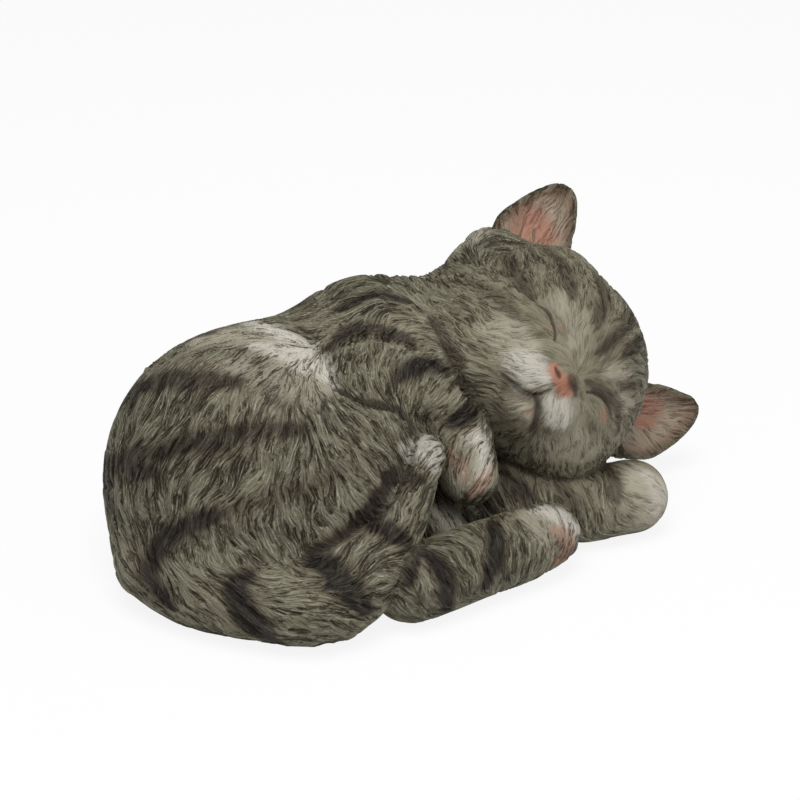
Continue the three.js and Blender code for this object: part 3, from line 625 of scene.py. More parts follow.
def head(p):
    """The plain head, with eyeballs, whisker pads and nose melted on."""
    q = to_head(p)
    near = melt(egg(q, SKULL), egg(q, MUZZLE), FACE_BLEND)
    near = melt(near, egg(q, CHIN), CHIN_BLEND)
    near = melt(near, egg(q, CHEEK), FACE_BLEND)
    near = melt(near, egg(q * np.float32((-1, 1, 1)), CHEEK), FACE_BLEND)
    near = melt(near, egg(q, JOWL), FACE_BLEND)
    near = melt(near, egg(q, CREST), CREST_BLEND)
    front = q[:, 1] > FACE_FROM
    r, part = q[front], near[front]
    for form, blend in FACE_BULGES:
        part = melt(part, egg(r, form), blend)
    near[front] = part
    return near


def track(p, points):
    """Distance to a line through points, and the share along it of the nearest place."""
    nearest = np.full(len(p), FAR_AWAY, dtype=np.float32)
    share = np.zeros(len(p), dtype=np.float32)
    points = np.asarray(points, dtype=np.float32)
    for number, (start, end) in enumerate(zip(points[:-1], points[1:])):
        along, reach = beside(p, start, end)
        closer = reach < nearest
        nearest = np.where(closer, reach, nearest)
        share = np.where(closer, (number + along) / (len(points) - 1), share)
    return nearest, share


def distances(p, names):
    """The distance to each whole form that is named, before the pieces share out the skin."""
    whole = {"body": body, "head": head}
    return {name: whole[name](p) if name in whole else limb(p, LIMBS[name]) for name in names}


def looseness(p):
    """How widely limbs and head flow into the body: 1 at their roots, 0 where a crease parts them."""
    tail = (1 - step(TAIL_LOOSE, TAIL_TIGHT, p[:, 0])) * step(*TAIL_BACK, p[:, 0])
    right = step(SHOULDER_FOOT, SHOULDER_TOP, p[:, 2])
    return {"tail": tail, "right": right, "head": step(*NAPE_FLOW, p[:, 2])}


def union(p, d, crease):
    """All forms melted into one skin, tightly at the creases and widely at shoulder and tail root."""
    loose = looseness(p)
    near = d["body"]
    for name in ("right", "head", "tail", "foot", "left"):
        if name in d:
            wide = (WIDE_BLEND[name] - crease) * loose[name] if name in loose else 0
            near = melt(near, d[name], crease + wide)
    return near + SKIN_INSET


def seat(p):
    """Distance to the ellipsoid along which the hindquarter is set in, below zero on its side."""
    return egg(p, HAUNCH_SEAT)


def rebate(p):
    """Distance to the oval recess that holds the base plate, below zero inside it."""
    q = (p[:, :2] - np.float32(BASE_AT)) / (np.float32(BASE_HALF) + GAP)
    beside_it = (np.sqrt(np.einsum("ij,ij->i", q, q)) - 1) * min(BASE_HALF)
    return np.maximum(beside_it, p[:, 2] - BASE_THICKNESS - GAP)


def beyond(name, p, d):
    """How far a place lies outside the stretch of skin that belongs to a piece, and its own limit inside."""
    own = MEETS[name][0]
    rest = np.min(np.stack([value for other, value in d.items() if other != own]), axis=0)
    out, limit = d[own] - rest, d[own]
    if name == "haunch":
        wall = seat(p)
        out, limit = np.maximum(out, wall), np.maximum(limit, wall)
    if name in ("torso_rear", "torso_front"):
        ahead = p[:, 0] - WAIST if name == "torso_rear" else WAIST - p[:, 0]
        wall = np.maximum(-seat(p), ahead)
        out, limit = np.maximum(out, wall), np.maximum(limit, wall)
    return out, limit


def piece_skin(name, crease):
    """The skin of one piece: the common skin on its own stretch, sunk under its neighbours beyond it."""
    def near(p):
        d = distances(p, MEETS[name])
        out, limit = beyond(name, p, d)
        g = union(p, d, crease) + SINK * step(SINK_FROM, SINK_FROM + SINK_WIDTH, out)
        g = np.maximum(g, limit - OVERLAP)
        if name.startswith("torso"):
            g = np.maximum(g, -rebate(p))
        return -melt(-g, p[:, 2], FLOOR_EDGE)
    return near


def camera_way():
    """The way from the figure to the camera, from its turn about the upright and its rise."""
    turn, rise = math.radians(CAMERA_TURN), math.radians(CAMERA_RISE)
    return math.sin(turn) * math.cos(rise), -math.cos(turn) * math.cos(rise), math.sin(rise)


def view_axes():
    """The camera's axes: to the right in the picture, up in it, and back from the figure."""
    back = np.float32(camera_way())
    right = unit(np.cross((0, 0, 1), back))
    return right, np.cross(back, right), back


VIEW_RIGHT, VIEW_UP, VIEW_BACK = view_axes()


def whole_skin(p, crease):
    """Distance to the one skin of all the forms."""
    return union(p, distances(p, ("body", *LIMBS, "head")), crease)


def on_skin(points, crease):
    """Where the sight lines through places in the picture meet the skin, or pass nearest to it."""
    scale = SENSOR_WIDTH / (CAMERA_LENS * PICTURE_SIDE)
    flat = (np.asarray(points, dtype=np.float32) - PICTURE_SIDE / 2) * scale
    way = unit(flat[:, :1] * VIEW_RIGHT - flat[:, 1:] * VIEW_UP - VIEW_BACK)
    eye = np.float32(CAMERA_AIM) + VIEW_BACK * CAMERA_DISTANCE
    far = np.full(len(flat), NEAREST_SKIN, dtype=np.float32)
    best, least = far, np.full(len(flat), FAR_AWAY, dtype=np.float32)
    for _ in range(SIGHT_STEPS):
        gap = whole_skin(eye + way * far[:, None], crease)
        closer = gap < least
        best, least = np.where(closer, far, best), np.where(closer, gap, least)
        far = far + np.maximum(gap, 0) * STRIDE
    return eye + way * best[:, None]


def outward(p, crease):
    """The skin's outward way at places, from its distances a probe's length to either side."""
    probes = np.eye(3, dtype=np.float32) * PROBE
    rise = [whole_skin(p + probe, crease) - whole_skin(p - probe, crease) for probe in probes]
    return unit(np.stack(rise, axis=1))


def pressed(points, crease):
    """Places carried along the skin's outward way until they lie on it."""
    p = np.asarray(points, dtype=np.float32)
    for _ in range(SETTLINGS):
        p = p - outward(p, crease) * whole_skin(p, crease)[:, None]
    return p


def rays(spine, columns, rows, caps):
    """A sphere's grid stretched along a curve: the starts and ways of its rays, pole to pole.

    The caps are the shares of the rows that turn about the two ends; between them each ring stands square
    to the curve. Ring 0 and the last ring have no size, so all their rays are the same.
    """
    share = np.linspace(0, 1, rows + 1)
    along = np.clip((share - caps[0]) / (1 - caps[0] - caps[1]), 0, 1)
    before = np.clip(1 - share / caps[0], 0, 1)
    after = np.clip((share - 1 + caps[1]) / caps[1], 0, 1)
    tilt = (after - before) * (np.pi / 2)
    start, tangent = through(spine, along)[:, :3], heading(spine, along, SPINE_PROBE)
    side = unit(np.cross((0, 0, 1), tangent))
    other = np.cross(side, tangent)
    turn = np.linspace(0, 2 * np.pi, columns, endpoint=False)
    size = np.cos(tilt)
    size[[0, -1]] = 0
    ring = np.cos(turn)[None, :, None] * side[:, None] + np.sin(turn)[None, :, None] * other[:, None]
    way = ring * size[:, None, None] + tangent[:, None] * np.sin(tilt)[:, None, None]
    start = np.broadcast_to(start[:, None], way.shape)
    return start.astype(np.float32), unit(way)


def cast(near, start, way):
    """Where each ray meets the skin: steps of the distance itself on a coarse grid, then secants on all."""
    shape = start.shape[:2]
    rows = np.unique(np.append(np.arange(0, shape[0], COARSE), shape[0] - 1))
    columns = np.arange(0, shape[1], COARSE)
    begin = start[np.ix_(rows, columns)].reshape(-1, 3)
    course = way[np.ix_(rows, columns)].reshape(-1, 3)
    far = np.full(len(begin), FIRST_STEP, dtype=np.float32)
    for _ in range(MARCHES):
        gap = near(begin + course * far[:, None])
        gap = np.where(gap < 0, np.minimum(gap, -LEAST_BACKWARD), gap)
        far = np.maximum(far - gap * STRIDE, LEAST_REACH)
    far = far.reshape(len(rows), len(columns))
    at = np.interp(np.arange(shape[0]), rows, np.arange(len(rows)))
    low = np.minimum(at.astype(int), len(rows) - 2)
    mix = (at - low)[:, None]
    far = far[low] * (1 - mix) + far[low + 1] * mix
    wide = np.concatenate([far, far[:, :1]], axis=1)
    at = np.arange(shape[1]) / COARSE
    low = np.minimum(at.astype(int), len(columns) - 1)
    span = np.append(columns, shape[1])
    mix = ((np.arange(shape[1]) - span[low]) / (span[low + 1] - span[low]))[None, :]
    far = (wide[:, low] * (1 - mix) + wide[:, low + 1] * mix).reshape(-1).astype(np.float32)
    begin, course = start.reshape(-1, 3), way.reshape(-1, 3)
    last, last_gap = far, near(begin + course * far[:, None])
    far = far - last_gap
    for _ in range(SECANTS):
        gap = near(begin + course * far[:, None])
        run = far - last
        slope = np.clip((gap - last_gap) / np.where(np.abs(run) < LEAST_RUN, LEAST_RUN, run), *SLOPES)
        last, last_gap, far = far, gap, far - np.clip(gap / slope, -LONGEST_SECANT, LONGEST_SECANT)
    return (begin + course * far[:, None]).reshape(*shape, 3)


def grid_normals(grid):
    """Unit normals of a closed grid: across the rows by across the columns, with the ring joined up."""
    down = np.gradient(grid, axis=0)
    around = np.roll(grid, -1, axis=1) - np.roll(grid, 1, axis=1)
    normal = np.cross(down, around)
    size = np.linalg.norm(normal, axis=-1, keepdims=True)
    normal = normal / np.maximum(size, 1e-9)
    normal[0] = unit(grid[0].mean(axis=0) - grid[3].mean(axis=0))
    normal[-1] = unit(grid[-1].mean(axis=0) - grid[-4].mean(axis=0))
    return normal.astype(np.float32)


def table_of(seed):
    """A seeded block of random numbers, 2^TABLE_BITS a side, that repeats in every direction."""
    return np.random.default_rng(seed).random(1 << 3 * TABLE_BITS, dtype=np.float32)


TABLES = {seed: table_of(seed) for seed in (FINE_SEED, SLOW_SEED, STREAK_SEED, BROAD_SEED)}


def noise(p, seed):
    """Value noise: the eight random numbers about each place, mixed by 3t^2 - 2t^3 along each axis."""
    table, wrap = TABLES[seed], (1 << TABLE_BITS) - 1
    low = np.floor(p)
    t = p - low
    t = t * t * (3 - 2 * t)
    low = low.astype(np.int32) & wrap
    high = (low + 1) & wrap
    x0, x1 = low[:, 0] << 2 * TABLE_BITS, high[:, 0] << 2 * TABLE_BITS
    y0, y1 = low[:, 1] << TABLE_BITS, high[:, 1] << TABLE_BITS
    tx, ty, tz = t[:, 0], t[:, 1], t[:, 2]

    def layer(z):
        first = table[x0 + y0 + z] * (1 - tx) + table[x1 + y0 + z] * tx
        second = table[x0 + y1 + z] * (1 - tx) + table[x1 + y1 + z] * tx
        return first * (1 - ty) + second * ty

    return layer(low[:, 2]) * (1 - tz) + layer(high[:, 2]) * tz


def combed(p, way, grain, reach, seed, taps=COMB_TAPS):
    """Noise drawn out along the hair: its mean at places up to a reach to either side along the way.

    A place counts by the cosine of its share of the reach times COMB_TAPER.
    """
    total = np.zeros(len(p), dtype=np.float32)
    weights = 0
    for share in np.linspace(-1, 1, taps):
        weight = math.cos(share * COMB_TAPER)
        total += weight * noise((p + way * np.float32(share * reach)) / np.float32(grain), seed)
        weights += weight
    return total / weights


def swirled(way, normal, p):
    """The hair's way laid flat on the skin, and turned about the normal by slow noises, as in whorls."""
    way = unit(way - normal * np.einsum("ij,ij->i", way, normal)[:, None])
    turn = SWIRL * sum((noise(p / size + shift, seed) - 0.5) * most for size, shift, seed, most in WHORLS)
    return way * np.cos(turn)[:, None] + np.cross(normal, way) * np.sin(turn)[:, None]


def locks(p, way, sizes):
    """Height of the carved hair from 0 in a groove to 1 on top: strokes over broader locks."""
    width, reach = sizes.lock_width / MM, sizes.lock_length / MM / 2
    fine = combed(p, way, width, reach, FINE_SEED)
    broad = combed(p, way, width * BROAD_WIDTH, reach * BROAD_REACH, BROAD_SEED)
    return step(*LOCK_EDGES, LOCK_LEVEL + (fine - 0.5) * FINE_GAIN + (broad - 0.5) * BROAD_GAIN)


def ball(p):
    """Places on the head carried onto a ball about its middle, so that strokes ignore the small forms."""
    return unit(to_head(p)) * HEAD_BALL


@lru_cache(maxsize=None)
def laid(form, crease):
    """A form's strokes and folds, by kind, and its hair guides' places and ways, carried onto the skin."""
    kinds = {kind: strokes.get(form, ()) for kind, strokes in (*STROKES.items(), ("fold", FOLDS))}
    guides = np.float32(HAIR_GUIDES[form])
    rows = [np.float32(stroke[0]) for strokes in kinds.values() for stroke in strokes]
    spots = on_skin(np.concatenate([*rows, guides[:, :2]]), crease)
    settle = ball if form == "head" else np.asarray
    lines, begin = {}, 0
    for kind, strokes in kinds.items():
        lines[kind] = []
        for points, *values in strokes:
            end = begin + len(points)
            lines[kind].append((rounded(settle(spots[begin:end])), *values))
            begin = end
    for points, half, strength in HIDDEN_BANDS.get(form, ()):
        line = pressed(from_head(points) if form == "head" else points, crease)
        lines["band"].append((rounded(settle(line)), half, strength))
    spots = spots[begin:]
    angle = np.radians(guides[:, 2])[:, None]
    flat = np.cos(angle) * VIEW_RIGHT - np.sin(angle) * VIEW_UP
    normal = outward(spots, crease)
    facing = np.maximum(normal @ VIEW_BACK, LEAST_FACING)
    lies = unit(flat - VIEW_BACK * (np.einsum("ij,ij->i", flat, normal) / facing)[:, None])
    return lines, spots, lies


def rounded(line):
    """A stroke's places joined by a smooth curve, three steps to a span."""
    return through(line, np.linspace(0, 1, 3 * (len(line) - 1) + 1))


def near_line(p, points, reach):
    """Which places lie within reach of a line's box, their distance to it and their share along it."""
    close = np.all((p > points.min(axis=0) - reach) & (p < points.max(axis=0) + reach), axis=1)
    return close, *track(p[close], points)


def painted(p, strokes, edge):
    """Coverage of brush strokes: full up to the first share of the half width in edge, none past the second.

    The half width swells by a sine from STROKE_END of itself at the ends to all of it in the middle.
    """
    bare = np.ones(len(p), dtype=np.float32)
    for points, half, strength in strokes:
        close, away, share = near_line(p, points, STROKE_REACH * half)
        reach = half * (STROKE_END + (1 - STROKE_END) * np.sin(np.pi * np.clip(share, 0, 1)))
        bare[close] *= 1 - strength * (1 - step(*edge, away / reach))
    return 1 - bare


def folded(p, normal, folds):
    """How deep the folds are pressed in, and how high the lip on their right, seen from outside, stands up.

    With s the distance over the half width: depth e^-s^2 to the left; to the right depth e^-(3s)^2 less
    lip (1 - e^-(3s)^2) e^-(s / 2)^2. At a fold's ends half of it is left.
    """
    total = np.zeros(len(p), dtype=np.float32)
    for points, depth, half, lip in folds:
        close, away, share = near_line(p, points, FOLD_REACH * half)
        at = np.clip(share, 0, LAST_SHARE) * (len(points) - 1)
        first = at.astype(int)
        way = points[first + 1] - points[first]
        foot = points[first] + way * (at - first)[:, None]
        right = np.einsum("ij,ij->i", p[close] - foot, np.cross(way, normal[close])) > 0
        s = away / half
        wall = np.exp(-(3 * s) ** 2)
        beyond_line = depth * wall - lip * (1 - wall) * np.exp(-(s / 2) ** 2)
        fade = 0.5 + 0.5 * np.sin(np.pi * np.clip(share, 0, 1))
        total[close] += fade * np.where(right, beyond_line, depth * np.exp(-s * s))
    return np.minimum(total, FOLD_LIMIT)


def along(p, balls):
    """The way of a limb's own curve at the nearest place on it."""
    _, share = track(p, through(balls, np.linspace(0, 1, LIMB_CONES))[:, :3])
    return heading(balls, share, LIMB_PROBE)


def plain_lie(form, p):
    """The hair's way without guides: away from the hip, towards paws and tail tip, from nose to neck."""
    if form == "head":
        q = to_head(p)
        behind = step(0, NECK_FROM, -q[:, 1])[:, None]
        return (unit(q - np.float32(NOSE_ROOT)) + behind * np.float32(NECK_WAY)) @ HEAD_AXES
    if form in LIMBS:
        return along(p, LIMBS[form]) + np.float32((0, 0, LEG_HAIR_FALL if form in ("foot", "left") else 0))
    return unit(p - np.float32(HIP)) + np.float32(BACK_HAIR_FALL)


def hair_way(form, p, crease):
    """The guides' ways, each by e^(-distance^2 / 2 reach^2), over a little of the plain lie."""
    _, spots, lies = laid(form, crease)
    apart = (p ** 2).sum(axis=1)[:, None] + (spots ** 2).sum(axis=1) - 2 * p @ spots.T
    loose = HEAD_LOOSE if form == "head" else GUIDE_LOOSE
    return unit(np.exp(-apart / (2 * GUIDE_REACH ** 2)) @ lies + loose * plain_lie(form, p))


def hair_cut(form, p):
    """How deep the hair is cut, from 0 to 1: slight near the nose and on the end of the left forepaw."""
    if form == "head":
        far = np.linalg.norm(to_head(p) - np.float32(NOSE_ROOT), axis=1)
        return FACE_CUT + NECK_CUT * step(*FACE_SPAN, far)
    end = step(*SMOOTH_ENDS[form], p[:, 0]) if form in SMOOTH_ENDS else 0
    return HAIR_CUT[form] * (1 - PAW_SMOOTHNESS * end) + np.zeros(len(p), dtype=np.float32)


def shares(d):
    """How much each form counts at each place: less the farther it lies behind the nearest one."""
    nearest = np.min(np.stack(list(d.values())), axis=0)
    raw = {name: np.exp((nearest - value) / FORM_EDGE) for name, value in d.items()}
    total = sum(raw.values())
    return {name: value / total for name, value in raw.items()}


def crease_shade(p, d):
    """Painted shade where two forms meet, wide and full in a tight crease, none where they flow together."""
    loose = looseness(p)
    dark = np.zeros(len(p), dtype=np.float32)
    names = list(d)
    for number, first in enumerate(names):
        for second in names[number + 1:]:
            other = first if second == "body" else second
            tight = 1 - loose[other] if "body" in (first, second) and other in loose else 1
            apart = np.abs(d[first] - d[second]) + np.maximum(np.maximum(d[first], d[second]), 0)
            dark = np.maximum(dark, CREASE_STRENGTH * tight * np.exp(-(apart / CREASE_SHADE_REACH) ** 2))
    return dark


def drawn(names, p, normal, sizes):
    """All that is drawn on the skin: the hair's lie, height and cut, the folds and the paints."""
    crease = sizes.crease_width / MM
    d = distances(p, names)
    part = {name: (weight, weight > LEAST_SHARE) for name, weight in shares(d).items()}
    lie = np.zeros((len(p), 3), dtype=np.float32)
    for form, (weight, rows) in part.items():
        lie[rows] += weight[rows, None] * hair_way(form, p[rows], crease)
    lie = swirled(lie, normal, p)
    ragged = combed(p, lie, RAGGED_GRAIN, RAGGED_REACH, BROAD_SEED, RAGGED_TAPS)
    shaken = p + lie * ((ragged[:, None] - 0.5) * RAGGED)
    fields = {key: np.zeros(len(p), dtype=np.float32) for key in (*STROKES, "fold", "cut", "tone")}
    for form, (weight, rows) in part.items():
        lines, _, _ = laid(form, crease)
        plain, brushed, own, upright = p[rows], shaken[rows], weight[rows], normal[rows]
        if form == "head":
            plain, brushed = ball(plain), ball(brushed)
            upright = -plain
        for kind in STROKES:
            crisp = kind == "dark_paint_and_shade" or (kind, form) == ("pink", "head")
            places, edge = (plain, CRISP_EDGE) if crisp else (brushed, SOFT_EDGE)
            fields[kind][rows] += own * painted(places, lines[kind], edge)
        fields["fold"][rows] += own * folded(plain, upright, lines["fold"])
        fields["cut"][rows] += own * hair_cut(form, p[rows])
        fields["tone"][rows] += own * TONES[form]
    fields["tone"] += PALE_SPAN * (pale_bands(shaken) - 0.5)
    # Painted shade in the creases between forms joins the dark paint
    fields["dark_paint_and_shade"] = np.maximum(fields["dark_paint_and_shade"], crease_shade(p, d))
    fields["cut"] *= step(*FLOOR_FADE, p[:, 2]) * (1 - PAD_SMOOTHNESS * fields["pink"])
    fields["rim"] = 1 - step(*FLOOR_RIM, p[:, 2])
    fields["hair"] = locks(p, lie, sizes)
    if "head" in part:
        weight, rows = part["head"]
        finer = locks(p[rows] * HEAD_FINENESS, lie[rows], sizes)
        fields["hair"][rows] += weight[rows] * (finer - fields["hair"][rows])
    fields["lie"] = lie
    return fields


def held(p):
    """Places eased inside the solids' box, but for the floor.

    At a side of the box the depth below it becomes s ln(1 + e^(depth / s)), with s the width of the easing.
    """
    low, high = (np.float32(corner) / MM for corner in CAD_BOX)
    low[2] = FAR_BELOW
    p = high - BOX_EASE * np.logaddexp(0, (high - p) / BOX_EASE)
    return low + BOX_EASE * np.logaddexp(0, (p - low) / BOX_EASE)


def pale_bands(p):
    """Slow lighter and darker patches of the coat, from 0 to 1."""
    patches = sum(noise(p / size + shift, seed) * share for size, shift, seed, share in PALE_PATCHES)
    return step(*PALE_EDGES, patches)


def dress(name, spine, columns, rows, caps, sizes):
    """One piece's carved and painted grid: cast the skin, press the grooves into it, work out the paint."""
    start, way = rays(spine, columns, rows, caps)
    grid = cast(piece_skin(name, sizes.crease_width / MM), start, way)
    normal = grid_normals(grid).reshape(-1, 3)
    p = grid.reshape(-1, 3)
    fields = drawn(MEETS[name], p, normal, sizes)
    lowered = sizes.lock_depth / MM * fields["cut"] * (1 - fields["hair"]) + fields.pop("fold")
    carved = held(p - normal * lowered[:, None])
    carved[:, 2] = np.maximum(carved[:, 2], 0)
    return carved.reshape(grid.shape), on_grid(fields, grid)


def on_grid(fields, grid):
    """Each field of values by place, laid out as rows and columns again."""
    return {key: value.reshape(*grid.shape[:2], *value.shape[1:]) for key, value in fields.items()}


def closed_mesh(name, grid, masks):
    """A closed mesh from a grid of rings: a fan at each end, quads between, masks kept at its corners."""
    rows, columns = grid.shape[0], grid.shape[1]

    def gather(values):
        flat = values[1:-1].reshape(-1, *values.shape[2:])
        return np.concatenate([values[:1].mean(axis=1), flat, values[-1:].mean(axis=1)])

    points = gather(grid) * MM
    last = len(points) - 1
    ring = np.arange(columns)
    after = np.roll(ring, -1)
    top = np.stack([np.zeros(columns), ring + 1, after + 1], axis=1)
    base = 1 + (rows - 3) * columns
    bottom = np.stack([np.full(columns, last), base + after, base + ring], axis=1)
    row = (1 + np.arange(rows - 3) * columns)[:, None]
    below = row + columns
    quads = np.stack([row + ring, below + ring, below + after, row + after], axis=-1).reshape(-1, 4)
    corners = np.concatenate([top.ravel(), bottom.ravel(), quads.ravel()]).astype(np.int32)
    totals = np.concatenate([np.full(2 * columns, 3), np.full(len(quads), 4)]).astype(np.int32)
    starts = np.concatenate([[0], np.cumsum(totals)[:-1]]).astype(np.int32)
    mesh = bpy.data.meshes.new(name)
    mesh.vertices.add(len(points))
    mesh.vertices.foreach_set("co", points.astype(np.float32).ravel())
    mesh.loops.add(len(corners))
    mesh.loops.foreach_set("vertex_index", corners)
    mesh.polygons.add(len(totals))
    mesh.polygons.foreach_set("loop_start", starts)
    mesh.polygons.foreach_set("loop_total", totals)
    mesh.polygons.foreach_set("use_smooth", np.ones(len(totals), dtype=bool))
    mesh.update(calc_edges=True)
    for key, values in masks.items():
        kind, entry = ("FLOAT_VECTOR", "vector") if values.ndim == 3 else ("FLOAT", "value")
        layer = mesh.attributes.new(key, kind, "POINT")
        layer.data.foreach_set(entry, gather(values).astype(np.float32).ravel())
    return mesh


def place(mesh, material, node, slot):
    """Puts a finished mesh into the scene as the piece that stands for a solid."""
    mesh.materials.append(material)
    piece = bpy.data.objects.new(mesh.name, mesh)
    bpy.context.scene.collection.objects.link(piece)
    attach(piece, "root")
    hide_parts(node)


def looped(points, count):
    """The closed curve through points, at even shares."""
    rows = np.asarray(points, dtype=np.float32)
    place_at = np.arange(count) * len(rows) / count
    at = place_at.astype(int)
    return curve_at(*(rows[(at + shift) % len(rows)] for shift in (-1, 0, 1, 2)), (place_at - at)[:, None])


def ear_grid(side, columns, outer, lip, inner):
    """An ear as a cup in the head's axes: from its root up the back, over a rounded lip, down into the bowl.

    Outer rings run from root to rim with a sine bulge, the lip is half a turn across the rim's thickness,
    and the inner rings run from there to the bowl's bottom with a sine hollow.
    """
    lift = RIGHT_EAR_LIFT if side < 0 else 0
    inward = RIGHT_EAR_INWARD if side < 0 else 0

    def set_in(q):
        q = np.asarray(q, dtype=np.float32)
        return np.stack([side * (q[..., 0] - inward), q[..., 1], q[..., 2] + lift], axis=-1)

    flip, ahead = np.float32((side, 1, 1)), np.float32((0, 1, 0))
    across, up = unit(EAR_ACROSS) * flip, unit(EAR_UP) * flip
    edge = looped(set_in(RIGHT_EAR_RIM if side < 0 else LEFT_EAR_RIM), columns)
    heart, base = edge.mean(axis=0), set_in(EAR_BASE)
    away = edge - base
    height = (away @ up) / EAR_HEIGHT
    root = base + across * (away @ across)[:, None] * EAR_ROOT_WIDTH \
        - up * (EAR_ROOT_SINK + EAR_ROOT_BACK_SINK * height)[:, None] \
        - ahead * (EAR_ROOT_FRONT + EAR_ROOT_DEPTH * height)[:, None]
    level = np.float32((1, 0, 1))
    outside = unit((edge - heart) * level)
    inside = -outside
    rows = [np.broadcast_to(root.mean(axis=0), root.shape)]
    top = edge - unit(edge - root) * EAR_LIP
    for share in np.linspace(0, 1, outer):
        swell = math.sin(math.pi * share)
        rows.append(root * (1 - share) + top * share + outside * swell * EAR_SIDE_BULGE
                    - ahead * (np.maximum(height, 0) * swell * EAR_BULGE)[:, None])
    for share in np.linspace(0, 1, lip + 2)[1:-1]:
        rows.append(top + inside * EAR_RIM_THICKNESS * (1 - math.cos(math.pi * share)) / 2
                    + unit(edge - root) * EAR_LIP * math.sin(math.pi * share))
    bowl = base + up * EAR_BOWL_UP - ahead * EAR_BOWL_BACK
    brim = top + inside * EAR_RIM_THICKNESS
    for share in np.linspace(0, 1, inner):
        hollow = math.sin(math.pi * share) * EAR_CUP
        rows.append(brim * (1 - share) + bowl * share - ahead * hollow)
    grid = np.stack(rows)
    row = np.arange(len(rows))[:, None] * np.ones((1, columns))
    deep = np.clip((row - outer - lip) / inner, 0, 1)
    rim = np.exp(-((row - outer - lip / 2) / (outer * EAR_RIM_SPREAD)) ** 2)
    if side > 0:
        return grid, deep, rim, base, (across, up)
    return grid[:, ::-1], deep[:, ::-1], rim[:, ::-1], base, (across, up)


class Value:
    """A socket in a material: arithmetic on it adds Math nodes, with numbers or sockets on either side."""

    def __init__(self, sheet, socket):
        self.sheet, self.socket = sheet, socket

    def _math(self, operation, *values):
        return self.sheet.node("ShaderNodeMath", {"operation": operation}, dict(enumerate(values)))

    def __add__(self, other):
        return self._math("ADD", self, other)

    def __radd__(self, other):
        return self._math("ADD", other, self)

    def __sub__(self, other):
        return self._math("SUBTRACT", self, other)

    def __rsub__(self, other):
        return self._math("SUBTRACT", other, self)

    def __mul__(self, other):
        return self._math("MULTIPLY", self, other)

    def __rmul__(self, other):
        return self._math("MULTIPLY", other, self)

    def __truediv__(self, other):
        return self._math("DIVIDE", self, other)

    def __rtruediv__(self, other):
        return self._math("DIVIDE", other, self)

    def clamped(self):
        """The value held between 0 and 1."""
        return self.sheet.node("ShaderNodeClamp", {}, {0: self})


class Sheet:
    """A material's node tree, and the one way in which nodes are put on it."""

    def __init__(self, name):
        self.material = bpy.data.materials.new(name)
        self.material.use_nodes = True
        self.tree = self.material.node_tree
        self.shader = self.tree.nodes["Principled BSDF"]

    def node(self, kind, settings, values, output=0):
        """A node of a type: its settings first, then its sockets' values or links."""
        node = self.tree.nodes.new(kind)
        for key, setting in settings.items():
            setattr(node, key, setting)
        for key, value in values.items():
            self.feed(node.inputs[key], value)
        return Value(self, node.outputs[output])

    def feed(self, socket, value):
        """Links a socket to another one, or sets it to a number or a colour."""
        if isinstance(value, Value):
            self.tree.links.new(value.socket, socket)
        elif socket.type == "RGBA":
            socket.default_value = (*value, 1)
        else:
            socket.default_value = value

    def set(self, **values):
        """Feeds the surface shader's own sockets, named with _ for a space."""
        for key, value in values.items():
            self.feed(self.shader.inputs[key.replace("_", " ")], value)

    def mask(self, name):
        """A paint's coverage, kept at the mesh's corners."""
        return self.node("ShaderNodeAttribute", {"attribute_name": name}, {}, "Fac")

    def mix(self, factor, first, second, blend="MIX"):
        """Two colours mixed; 6, 7 and 2 are the colour sockets of the node."""
        return self.node("ShaderNodeMix", {"data_type": "RGBA", "blend_type": blend}, {
            0: factor, 6: first, 7: second}, 2)

    def places(self):
        """Places on the piece, in metres."""
        return self.node("ShaderNodeTexCoord", {}, {}, "Object")

    def grain(self, scale, detail):
        """Noise from 0 to 1 over the piece, with so many patches to a metre."""
        at = self.node("ShaderNodeMapping", {}, {"Vector": self.places(), "Scale": (scale,) * 3})
        return self.node("ShaderNodeTexNoise", {}, {"Vector": at, "Scale": 1.0, "Detail": detail})

    def bump(self, strength, distance, height):
        """A normal bent by a height, whose full range stands so far out."""
        values = {"Strength": strength, "Distance": distance, "Height": height}
        return self.node("ShaderNodeBump", {}, values)


def fine_strands(sheet, sizes, fineness):
    """Fine strands, below 0 in grooves, above 1 on ridges: noise averaged at places along the hair's lie."""
    at = sheet.places()
    lie = sheet.node("ShaderNodeAttribute", {"attribute_name": "lie"}, {}, "Vector")
    taps = []
    for share in np.linspace(-0.5, 0.5, STRAND_TAPS):
        shift = float(share) * sizes.strand_length / fineness
        moved = sheet.node(
            "ShaderNodeVectorMath", {"operation": "MULTIPLY_ADD"}, {0: lie, 1: (shift,) * 3, 2: at})
        taps.append(sheet.node("ShaderNodeTexNoise", {}, {
            "Vector": moved, "Scale": fineness / sizes.strand_width, "Detail": 0.0}))
    return (sum(taps[1:], taps[0]) / STRAND_TAPS - 0.5) * STRAND_GAIN + 0.5


